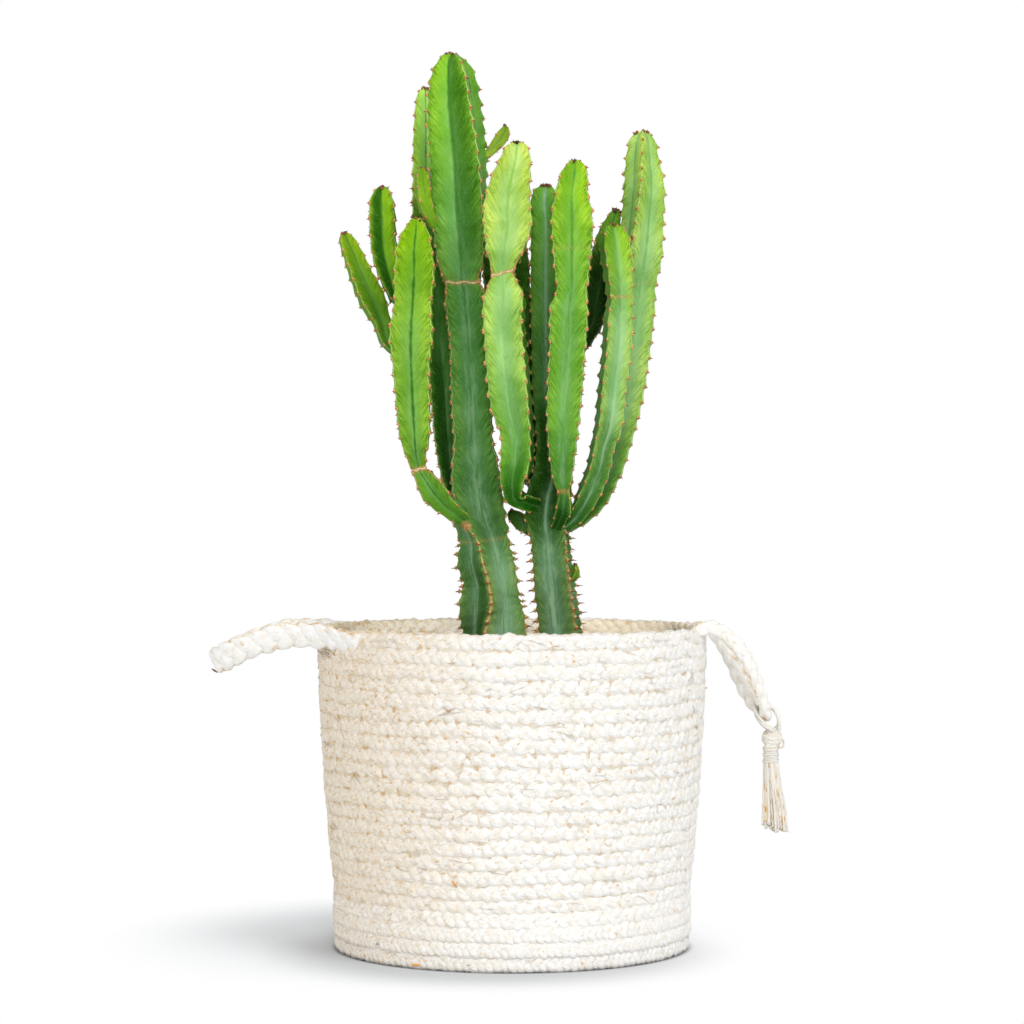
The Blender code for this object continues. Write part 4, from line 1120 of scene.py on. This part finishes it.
def make_rim_stitches(material):
    """Fine whip stitches over the top course beside the roots of the handles."""
    build = Build()
    arc = np.linspace(0.1, math.pi / 2 + 0.7, 9)
    reach = RIM_RADIUS - BRAID_THICKNESS / 2 + (BRAID_THICKNESS / 2 - 0.0003) * np.cos(arc)
    rise = wall_high[2] - HALF_WIDTH + HALF_WIDTH * np.sin(arc)
    taper = np.array([0.4, 0.9, 1, 1, 1, 1, 1, 0.9, 0.4])[:, None]
    for low, high in STITCHED_RIM:
        for degrees in np.arange(low, high, STITCH_SPACING):
            angle = math.radians(-90 + degrees + rng.uniform(-0.2, 0.2))
            turn = angle + rng.uniform(-0.012, 0.012) * np.cos(arc)
            path = on_circle(turn, reach, rise)
            side = on_circle(turn + math.pi / 2, 1.0, 0.0)
            thick = np.cross(directions(path), side) * STITCH_HALF_DEPTH
            wide = side * rng.uniform(*STITCH_HALF_WIDTHS)
            build.tube(path, wide * taper, thick * taper, 8, crease=0.0, shift=rng.uniform(0, 9))
    build.piece("rim_stitches", material, "braid")


def make_base_band(material):
    """The smoother upturned band at the basket's foot."""
    build = Build()
    middles = [base_low[2] + BASE_COURSE * (row + 0.5) for row in range(BASE_COURSES)]
    for row, (height, inset) in enumerate(zip(middles, BASE_INSETS)):
        lift, flatten = (0.0, 0.96) if row else (0.0006, 0.9)
        line, out, up = loop_at(BASE_RADIUS - HALF_DEPTH - inset, height + lift, course_wave)
        period, per_period, loose = (BAND_PERIOD, 9, 0.8) if row < BAND_COURSES else (BRAID_PERIOD, 11, 1.3)
        braid(
            build, line, out, up, BAND_HALF_WIDTH, HALF_DEPTH * flatten, period,
            closed=True, sides=7, per_period=per_period, loose=loose, slim=0.60, plump=0.86,
        )
    heights = base_low[2] + 0.0035 + np.arange(7) * (base_high[2] - base_low[2] - 0.005) / 6
    outer = BASE_RADIUS - 0.0008 - np.interp(heights, middles, BASE_INSETS)
    make_backing(build, outer, outer - 0.005, heights, 0.4)
    build.piece("base_courses", material, "braid", "basket_base")


def make_base_floor(material):
    """Rings of braid with a disc of packed fibre between them."""
    build = Build()
    middle = BRAID_THICKNESS / 2 + 0.0001
    spacing = (BASE_RADIUS - 0.0070) / FLOOR_RINGS
    for ring in range(FLOOR_RINGS):
        radius = spacing * (ring + 0.5) + 0.0005
        line, out, up = loop_at(radius, middle, corners=max(16, int(radius * 900)))
        period = min(BRAID_PERIOD, math.tau * radius / 2)
        braid(build, line, -up, out, spacing * 0.56, 0.0036, period, closed=True, sides=6, per_period=6)
    corners, half, edge = 72, 0.0006, BASE_RADIUS - 0.0052
    profile = ((0.001, -half), (0.05, -half), (edge, -half), (edge, half), (0.05, half), (0.001, half))
    disc = np.stack([on_circle(corner_angles(corners), radius, middle + rise) for radius, rise in profile])
    # a golden disc: painted shade between the rings
    build.loft(disc, np.arange(corners + 1) * 0.3, np.arange(len(profile)) * 2.0, crease=1.0)
    build.piece("base_floor", material, "braid", "basket_base")


def lay_thread(build, angle, radius, height, half, sides, crease):
    """A thin thread on the basket, at places given round it, with a half thickness for each place."""
    path, out = on_circle(angle, radius, height), on_circle(angle, 1.0, 0.0)
    side = unit(np.cross(out, directions(path)))
    build.tube(path, side * half, out * half, sides, crease=crease, shift=rng.uniform(0, 9))


def make_stray_fibres(material):
    """Loose fibres that lie on the courses: pale ones, and golden ones mostly on the left."""
    build = Build()
    share = np.linspace(-0.5, 0.5, 5)
    taper = np.array([0.25, 1.0, 1.0, 1.0, 0.25])[:, None]
    for _ in range(STRAY_FIBRES):
        heading = rng.uniform(0, math.tau)
        height = rng.uniform(base_low[2] + 0.006, wall_high[2] - 0.004)
        radius = wall_radius(height) if height > wall_low[2] else BASE_RADIUS - 0.001
        long, lean, bend = rng.uniform(*FIBRE_LENGTHS), rng.normal(0, 0.35), rng.normal(0, 0.0010)
        turn = heading + share * long * math.cos(lean) / radius
        rise = height + share * long * math.sin(lean) + bend * (1 - 4 * share ** 2)
        stand = radius - 0.0004 + rng.uniform(0.0002, 0.0006) * np.cos(share * math.pi)
        half = taper * rng.uniform(*FIBRE_HALF_WIDTHS)
        golden = rng.uniform() < (GOLDEN_LEFT if math.cos(heading) < -0.2 else GOLDEN_RIGHT)
        lay_thread(build, turn, stand, rise, half, 6, rng.uniform(0.75, 1.0) if golden else 0.0)
    build.piece("wall_stray_fibres", material, "braid")


fibre = braid_material("braid_fibre", rgb(252, 251, 249), rgb(243, 236, 223), painted_left_shade=0.6)
band_fibre = braid_material("band_fibre", rgb(252, 251, 249), rgb(245, 239, 228), gold=0.6, painted_left_shade=0.36)
make_basket_wall(fibre)
make_base_band(band_fibre)
make_base_floor(band_fibre)
make_stray_fibres(fibre)
make_rim_stitches(fibre)


# ------------------------ handles
STRAP_END_HEIGHT = wall_high[2] - 0.0060
# How the ends run on past the seam: degrees round the rim, and how deep in the wall
LEFT_SEAMS = ((10, -0.0060), (5, -0.0035))
RIGHT_SEAMS = ((12, -0.0055), (6, -0.0045))
# Golden-brown threads that paint the shadow under the left handle's root: how far down, and half thickness
ROOT_SHADOW_THREADS = ((0.0, 0.0008), (0.0010, 0.0006), (0.0021, 0.0004))


def run_in(end, seams, way):
    """Points on the rim past a handle's seam, from the far one to the near one."""
    angle = math.atan2(end[1], end[0])
    points = []
    for degrees, depth in seams:
        height = np.interp(degrees, [0, 9], [end[2], STRAP_END_HEIGHT])
        points.append(on_circle(angle + math.radians(degrees) * way, RIM_RADIUS + depth, height))
    return points


def make_handle(node, route, material, width, thickness, period, roll, seams, fades):
    """A braided strap whose width stands up, rolled by some degrees, and whose ends run on into the rim.

    The fades are the shares of its length over which the two ends grow narrow.
    """
    route = np.array(route) * MM
    way = 1 if route[0][0] < 0 else -1
    stations = [*run_in(route[0], seams, way), *route, *run_in(route[-1], seams, -way)[::-1]]
    line = smooth_route(stations, 0.003)
    along = directions(line)
    up = unit(UP - along * along[:, 2:3])
    out = np.cross(along, up)

    def taper(spot):
        ends = np.minimum(spot / fades[0], (1 - spot) / fades[1])
        return np.interp(ends, [0, 0.35, 1], [0.30, 0.66, 1.0])

    face = out * np.sign((out * (line - line.mean(0))).sum(1).sum())
    lean = math.radians(roll)
    out, up = face * math.cos(lean) - up * math.sin(lean), up * math.cos(lean) + face * math.sin(lean)
    build = Build()
    braid(
        build, line, out, up, width / 2, thickness / 2, period,
        sides=12, per_period=18, taper=taper, fullness=1.02, slim=0.62, plump=0.70, loose=0.7,
    )
    heart = taper(np.linspace(0, 1, len(line)))[:, None]
    # a golden core along the strap: painted shade seen in the gaps between the strands
    build.tube(line, up * (width * 0.30 * heart), out * (thickness * 0.12 * heart), 8, crease=1.0)
    build.piece(node + "_braid", material, "braid", node)


def make_root_shadow(material):
    """Golden-brown threads on the wall, right under the root of the left handle: the root's painted shadow.
    """
    build = Build()
    share = np.linspace(0, 1, 14)
    for drop, wide in ROOT_SHADOW_THREADS:
        angle = np.radians(184.0 + 34.0 * share * (1 - 160 * drop))
        height = 0.1932 - 0.0030 * share - drop + 0.0003 * np.sin(share * 17 + drop * 900)
        half = wide * np.interp(share, [0, 0.15, 0.7, 1], [0.5, 1, 0.8, 0.2])[:, None]
        lay_thread(build, angle, wall_radius(height) + 0.0001, height, half, 8, 1.0)
    build.piece("root_painted_shadow", material, "braid")


handle_fibre = braid_material(
    "handle_fibre", rgb(254, 253, 250), rgb(252, 247, 237),
    crease_from=0.56, crease_to=0.95, gold=0.9, side=0.6, marks=0.2,
)
make_handle(
    "resting_handle", RESTING_HANDLE, handle_fibre,
    width=0.0175, thickness=0.0066, period=0.038, roll=22, seams=LEFT_SEAMS, fades=(0.13, 0.13),
)
make_handle(
    "hanging_handle", HANGING_HANDLE, handle_fibre,
    width=0.0096, thickness=0.0074, period=0.034, roll=0, seams=RIGHT_SEAMS, fades=(0.12, 0.34),
)
# painted shadow under the left handle's root
make_root_shadow(handle_fibre)


# ------------------------ tassel
tie_low, tie_high = box_of("tassel_tie")
knot_low, knot_high = box_of("tassel_knot")
bind_low, bind_high = box_of("tassel_binding")
fringe_low, fringe_high = box_of("tassel_fringe")
TASSEL_X = (knot_low[0] + knot_high[0]) / 2
NECK_X = TASSEL_X + 0.0006
STRANDS = 74
STRAND_RADII = (0.0009, 0.0008)      # at the top and the bottom
TOP_SPREAD = 0.0038                  # how far the outermost strands are from the middle, at the top
FOOT_SPREAD = 0.0080                 # and at the bottom
GOLDEN_ANGLE = 2.39996

# Turns of the tie: lean, size and depth
TIE_TURNS = ((0.0, 0.84, 0.0), (0.35, 0.78, 0.0016), (-0.3, 0.81, -0.0014))
# Short ends and bands of the tie: radius, sides, crease, and points in millimetres from the tie's middle
TIE_ENDS = (
    (0.0011, 8, 0.2, ((-11, -2, 10), (-8.5, -4.5, 3), (-5, -5.8, -2.5), (0, -5.5, -6.2), (4, -3.5, -9))),
    (0.0013, 8, 0.15, ((4, -4, 4), (6.2, -4.2, -1), (6.8, -3, -6), (6, -1, -10))),
    (0.0009, 7, 0.25, ((-7.6, -4, 0), (-3.6, -6.2, -4.2), (1.2, -5.8, -7.2), (4.6, -3.6, -9.4))),
    (0.0009, 7, 0.25, ((-7.6, -4, -1.3), (-3.6, -6.2, -5.5), (1.2, -5.8, -8.5), (4.6, -3.6, -10.7))),
)
# Turns of the knot: tilt, heading and size
KNOT_TURNS = (
    (0.25, 0.0, 1.0), (-0.35, 0.6, 0.98), (0.9, 1.2, 0.97),
    (-1.0, 0.3, 0.99), (1.35, 2.2, 0.95), (0.55, 2.8, 0.98),
)
KNOT_SIZE = np.array([0.0056, 0.0050, 0.0058])
KNOT_RADIUS = 0.0011                 # of the twine, as are the next two
TIE_RADIUS = 0.0010
BINDING_RADIUS = 0.0008
NECK_RADIUS = 0.0042


def round_tube(build, path, radius, sides=8, closed=False, **values):
    """A piece of twine; the radius is one number, or one for each point of the path."""
    way = directions(path, closed)
    wide = unit(np.cross(way, (0.31, 0.94, 0.11)))
    deep = np.cross(way, wide)
    radius = np.broadcast_to(radius, (len(path),))[:, None]
    build.tube(path, wide * radius, deep * radius, sides, closed, shift=rng.uniform(0, 9), **values)


def make_tie(material):
    """Turns of twine round the handle's tip, and the ends that go down to the knot."""
    build = Build()
    hold = np.array([TASSEL_X - 0.0016, 0.0, (tie_low[2] + tie_high[2]) / 2 + 0.0015])
    half = (tie_high - tie_low) / 2
    cos, sin = circle(48)
    for lean, reach, depth in TIE_TURNS:
        across = cos * half[0] * reach - 0.0034 * sin
        loop = np.stack([across, depth + 0.0022 * lean * sin, sin * half[2] * reach], 1)
        round_tube(build, hold + loop, TIE_RADIUS, 8, True, crease=0.25)
    for radius, sides, crease, points in TIE_ENDS:
        path = smooth_route(np.array(points) * MM, 0.0008) + hold + (0.0008, 0.0, 0.0)
        round_tube(build, path, radius, sides, crease=crease)
    build.piece("tassel_tie_twine", material, "twine", "tassel_tie")


def make_knot(material):
    """Turns of twine wound over each other round a small ball, with a little loop and a dark end."""
    build = Build()
    centre = (knot_low + knot_high) / 2 + np.array([0.0014, 0.0, 0.0038])
    build.ball(centre, np.diag(KNOT_SIZE * 0.8), crease=0.9)
    for tilt, heading, reach in KNOT_TURNS:
        lean, spin = turn_about(0, tilt), turn_about(2, heading)
        for offset in (-0.22, 0.22):
            ring = on_circle(corner_angles(40), math.sqrt(1 - offset ** 2), offset)
            path = centre + (ring @ lean.T @ spin.T) * KNOT_SIZE * reach
            round_tube(build, path, KNOT_RADIUS, 7, True, crease=rng.uniform(0.1, 0.5))
    cos, sin = circle(24)
    small = np.stack([0.0058 + 0.0016 * cos, -0.001 + 0.0008 * sin, -0.0035 + 0.0030 * sin], 1)
    round_tube(build, centre + small, 0.0006, 7, True, crease=0.9)
    mark = smooth_route(np.array([(-5.2, -3, 3.2), (-3.4, -4.4, 4.6), (-0.8, -4.8, 5)]) * MM, 0.0006)
    round_tube(build, centre + mark, 0.0007, 7, crease=1.0)
    neck = smooth_route([(NECK_X, 0.0, bind_high[2]), centre], 0.002)
    round_tube(build, neck, NECK_RADIUS, 16, crease=0.3)
    build.piece("tassel_knot_twine", material, "twine", "tassel_knot")


def make_binding(material):
    """Close turns round the neck."""
    build = Build()
    turns, corners = 7, 24
    angle = np.arange(turns * corners + 1) / corners * math.tau
    height = np.linspace(bind_low[2] + 0.0004, bind_high[2] + 0.0042, len(angle))
    radius = NECK_RADIUS + 0.0001 + 0.0004 * np.sin(angle * 0.37)
    round_tube(build, on_circle(angle, radius, height) + (NECK_X, 0.0, 0.0), BINDING_RADIUS, 7, crease=0.2)
    build.piece("tassel_binding_twine", material, "twine", "tassel_binding")


def make_fringe(material):
    """Loose strands with uneven ends round a core."""
    build = Build()
    top, bottom = fringe_high[2] - 0.004, fringe_low[2]
    for i in range(STRANDS):
        share = math.sqrt((i + 0.5) / STRANDS)
        way = np.array([math.cos(i * GOLDEN_ANGLE), math.sin(i * GOLDEN_ANGLE)])
        start = way * TOP_SPREAD * share
        spread = FOOT_SPREAD * share * rng.uniform(0.8, 1.1)
        end = way * spread + (0.0026, 0.0) + rng.normal(0, 0.0009, 2)
        foot = bottom + rng.uniform(-0.0015, 0.0035) + (0.002 if end[0] < 0 else 0.0)
        stations = [(NECK_X + start[0], start[1], top)]
        for step, out in ((0.12, 0.12), (0.35, 0.35), (0.65, 0.70), (1.0, 1.0)):
            spot = start + (end - start) * out + rng.normal(0, 0.00035, 2) * step
            stations.append((NECK_X + spot[0], spot[1], top + (foot - top) * step))
        path = smooth_route(stations, 0.003)
        # pale outer strands; the inner strands are golden, as painted shade between the outer ones
        pale = share > 0.72 and rng.uniform() < 0.84
        crease = rng.uniform(0.0, 0.35) if pale else rng.uniform(0.5, 1.0)
        radius = np.linspace(*STRAND_RADII, len(path)) * rng.uniform(0.9, 1.25)
        round_tube(build, path, radius, 6, crease=crease)
    # the core is golden too: painted shade inside the fringe
    drops = ((0.0, top), (0.0006, top - 0.016), (0.0022, bottom + 0.006))
    core = smooth_route([(NECK_X + aside, 0.0, height) for aside, height in drops], 0.003)
    round_tube(build, core, np.linspace(0.0034, 0.0068, len(core)), 16, crease=0.8)
    build.piece("tassel_fringe_strands", material, "twine", "tassel_fringe")


twine = braid_material(
    "twine_fibre", rgb(255, 254, 250), rgb(255, 248, 234),
    crease_from=0.40, gold=0.95, side=1.0, marks=0.3,
)
make_tie(twine)
make_knot(twine)
make_binding(twine)
make_fringe(twine)


# ------------------------ flecks of straw
# Middle of each fleck, its direction, half length, half width, tone: straw 0, brown 0.6, grey 1
FLECKS = (
    ((-0.0350, -0.1125, 0.0540), (0.6, 0.0, -0.8), 0.0030, 0.0009, 0.0),
    ((-0.0832, -0.0812, 0.0129), (1.0, 0.0, 0.1), 0.0011, 0.0010, 1.0),
    ((-0.1169, -0.0318, 0.1510), (0.3, 0.0, 1.0), 0.0008, 0.0006, 0.6),
    ((0.1238, -0.0050, 0.1652), (0.9, 0.0, 0.5), 0.0026, 0.0010, 0.0),
    ((-0.0580, -0.0985, 0.0026), (1.0, 0.35, -0.1), 0.0048, 0.0010, 0.0),
    ((-0.1915, -0.0060, 0.1772), (0.9, 0.0, -0.6), 0.0026, 0.0014, 0.6),
)


def straw_material():
    n = Surface("straw_flecks", 0.8)
    tone = n.attribute("tone")
    speck = n.noise(n.place(), 800.0, 2.0, 0.6)
    straw = n.fade(speck, 0.35, 0.65, rgb(240, 186, 118), rgb(214, 138, 62))
    straw = n.fade(tone, 0.3, 0.5, straw, rgb(112, 72, 38))
    n.colour(n.fade(tone, 0.7, 0.9, straw, rgb(160, 150, 158)))
    n.rough(n.span(speck, 0.3, 0.7, 0.7, 0.9))
    n.bump(speck, 0.0002, 0.5)
    return n.owner


def make_flecks(material):
    build = Build()
    for middle, way, half_long, half_wide, tone in FLECKS:
        way = unit(np.array(way))
        out = np.array([middle[0], middle[1], 0.0])
        out = unit(out - way * out.dot(way))
        axes = np.stack([way * half_long, np.cross(out, way) * half_wide, out * 0.0006])
        build.ball(np.array(middle), axes, tone=tone)
    build.piece("straw_flecks", material, "braid")


make_flecks(straw_material())


# ------------------------ pot and soil
TRUNK_FEET = ((-0.008, 0.0), (0.033, 0.0))    # where the trunks stand in the soil
TRUNK_CLEARANCE = 0.019
MOUND_DROP = 0.004                   # how much lower the soil is at the pot than in the middle
CRUMBS = 620
CRUMB_SKEW = np.array([[0, 0, 0.2], [0, 0, 0.1], [0.1, -0.2, 0]])
PERLITE_SHARE = 0.16


def pot_material():
    n = Surface("pot_plastic", 0.5)
    speck = n.noise(n.place(), 700.0, 3.0, 0.6)
    scuff = n.noise(n.place(), 38.0, 4.0, 0.65)
    base = n.fade(scuff, 0.45, 0.75, rgb(34, 32, 31), rgb(58, 55, 52))
    n.colour(n.mix(n.span(speck, 0.62, 0.75, 0.0, 0.4), base, rgb(110, 98, 84)))
    n.rough(n.span(scuff, 0.3, 0.7, 0.38, 0.62))
    n.bump(speck, 0.0002, 0.4)
    return n.owner


def soil_material():
    n = Surface("potting_mix", 0.95)
    crumb = n.noise(n.place(), 320.0, 4.0, 0.7)
    base = n.fade(crumb, 0.35, 0.65, rgb(38, 28, 22), rgb(86, 66, 50))
    perlite = n.mix(crumb, rgb(212, 206, 194), rgb(244, 240, 232))
    n.colour(n.fade(n.attribute("tone"), 0.55, 0.65, base, perlite))
    n.rough(n.span(crumb, 0.3, 0.7, 0.85, 1.0))
    n.bump(crumb, 0.0012, 0.8)
    return n.owner


def add_crumb(build, reach, top):
    """A crumb of soil or perlite, left out where a trunk stands."""
    far = reach * 0.95 * math.sqrt(rng.uniform())
    heading = rng.uniform(0, math.tau)
    x, y = math.cos(heading) * far, math.sin(heading) * far
    if min(math.hypot(x - foot_x, y - foot_y) for foot_x, foot_y in TRUNK_FEET) < TRUNK_CLEARANCE:
        return
    size = rng.uniform(0.0008, 0.0026)
    height = top - 0.0008 - MOUND_DROP * (far / reach) ** 2
    axes = np.diag(rng.uniform(0.6, 1.2, 3) * size)
    spin = rng.uniform(0, math.tau)
    tone = 1.0 if rng.uniform() < PERLITE_SHARE else 0.0
    build.ball(np.array([x, y, height]), axes @ (turn_about(2, spin) + CRUMB_SKEW), tone=tone)


def make_soil(material):
    """A rough mound with a plain underside, and crumbs on it."""
    low, high = box_of("soil")
    reach = high[0]
    build = Build()
    rings, corners = 26, 72
    angle = corner_angles(corners)
    shape = []
    for share in np.arange(rings + 1) / rings:
        mound = on_circle(angle, max(0.0008, reach * share), high[2] - 0.0012 - MOUND_DROP * share ** 2)
        x, y = mound[:, 0], mound[:, 1]
        bump = 0.0012 * np.sin(x * 310 + 1.3) * np.sin(y * 270 + 0.4) + 0.0009 * np.sin(x * 640 + y * 510)
        bump += rng.normal(0, 0.00045, corners) * min(1.0, 3 * share)
        shape.append(mound + UP * (bump * (1 - share ** 8))[:, None])
    edge = shape[-1][:, 2].mean()
    for part in (0.9, 0.5, 0.0):
        shape.append(on_circle(angle, reach * (0.79 + 0.21 * part), low[2] + (edge - low[2]) * part))
    build.loft(np.array(shape)[::-1], np.arange(corners + 1) * 0.4, np.arange(len(shape)) * 0.3, tone=0.0)
    for _ in range(CRUMBS):
        add_crumb(build, reach, high[2])
    build.piece("potting_mix", material, "soil", "soil")


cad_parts["nursery_pot"].data.materials.clear()
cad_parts["nursery_pot"].data.materials.append(pot_material())
make_soil(soil_material())


# ------------------------ studio
# Suns: name, strength, and in degrees softness, azimuth from the front towards the right, and elevation
SUNS = (("key", 0.85, 30.0, 45.0, 41.0), ("front", 0.82, 20.0, 4.0, 19.0), ("fill", 0.38, 50.0, -52.0, 25.0))
WORLD_FILL = 0.56                    # the world's strength as light; to the camera it is 1
WHITE = (1.0, 1.0, 1.0, 1.0)
BLACK = (0.0, 0.0, 0.0, 1.0)
FLOOR_HALF = 6.0


def away_from(n, x, y):
    """Distance along the floor from a point."""
    step = n.new("VectorMath", operation="DISTANCE")
    n.plug(step.inputs[0], n.place())
    step.inputs[1].default_value = (x, y, 0.0)
    return step.outputs["Value"]


def floor_material():
    """White, with a painted soft shadow round the basket's foot and a painted tight dark contact shadow along
    its front.
    """
    n = Surface("studio_floor", 0.9, specular=0.0)
    edge = away_from(n, 0.0, 0.0)
    facing = n.math("DIVIDE", n.split(n.place())[1], edge)
    # painted shadows: a tight dark contact line at the front and a soft shade round the foot
    tight = n.mul(n.span(edge, 0.1180, 0.1120), n.span(facing, 0.3, -0.4, 0.0, 0.88))
    soft = n.mul(n.math("POWER", n.span(away_from(n, -0.012, -0.027), 0.172, 0.094), 1.5), 0.34)
    shade = n.mix(tight, n.mix(soft, WHITE, BLACK), BLACK)
    n.colour(n.mix(1.0, shade, rgb(247, 251, 255), "MULTIPLY"))
    # the camera's white emission carries the same painted shadow; further out it takes over from the lit
    # floor
    light = n.new("Emission")
    n.plug(light.inputs["Color"], shade)
    fade = n.mul(n.span(away_from(n, -0.06, 0.03), 0.075, 0.22), n.seen())
    blend = n.fill(n.new("MixShader"), fade, n.shader.outputs[0], light.outputs[0])
    n.plug(n.tree.nodes["Material Output"].inputs["Surface"], blend)
    return n.owner


def make_floor():
    corners = [(x * FLOOR_HALF, y * FLOOR_HALF, 0) for x, y in ((-1, -1), (1, -1), (1, 1), (-1, 1))]
    mesh = bpy.data.meshes.new("floor")
    mesh.from_pydata(corners, [], [(0, 1, 2, 3)])
    mesh.materials.append(floor_material())
    floor = bpy.data.objects.new("floor", mesh)
    bpy.context.scene.collection.objects.link(floor)


def make_world():
    world = bpy.data.worlds.new("studio")
    bpy.context.scene.world = world
    n = Nodes(world)
    background = n.tree.nodes["Background"]
    background.inputs["Color"].default_value = WHITE
    n.plug(background.inputs["Strength"], n.span(n.seen(), 0.0, 1.0, WORLD_FILL, 1.0))


def add_item(name, data, location, rotation):
    """Puts a lamp or camera in the scene; the rotation is in degrees."""
    item = bpy.data.objects.new(name, data)
    item.location = location
    item.rotation_euler = [math.radians(turn) for turn in rotation]
    bpy.context.scene.collection.objects.link(item)
    return item


def make_sun(name, strength, softness, azimuth, elevation):
    """The angles are in degrees."""
    lamp = bpy.data.lights.new(name, "SUN")
    lamp.energy = strength
    lamp.angle = math.radians(softness)
    add_item(name, lamp, (0.0, 0.0, 0.0), (90 - elevation, 0, azimuth))


def make_bounce_card():
    """A small card of light behind the trunks, for the inside of the basket's back rim."""
    lamp = bpy.data.lights.new("bounce_card", "AREA")
    lamp.shape = "RECTANGLE"
    lamp.size, lamp.size_y = 0.17, 0.02
    lamp.energy = 0.030
    add_item("bounce_card", lamp, (0.0, 0.045, 0.190), (90, 0, 0)).visible_camera = False


def make_camera():
    lens = bpy.data.cameras.new("camera")
    lens.lens = 101.25
    lens.sensor_width = 36.0
    lens.shift_y = -0.0117
    lens.clip_start = 0.05
    bpy.context.scene.camera = add_item("camera", lens, (0.0, -1.86, 0.287), (90, 0, 0))


make_camera()
make_floor()
make_world()
for sun in SUNS:
    make_sun(*sun)
make_bounce_card()
bpy.context.scene.view_settings.view_transform = "Standard"
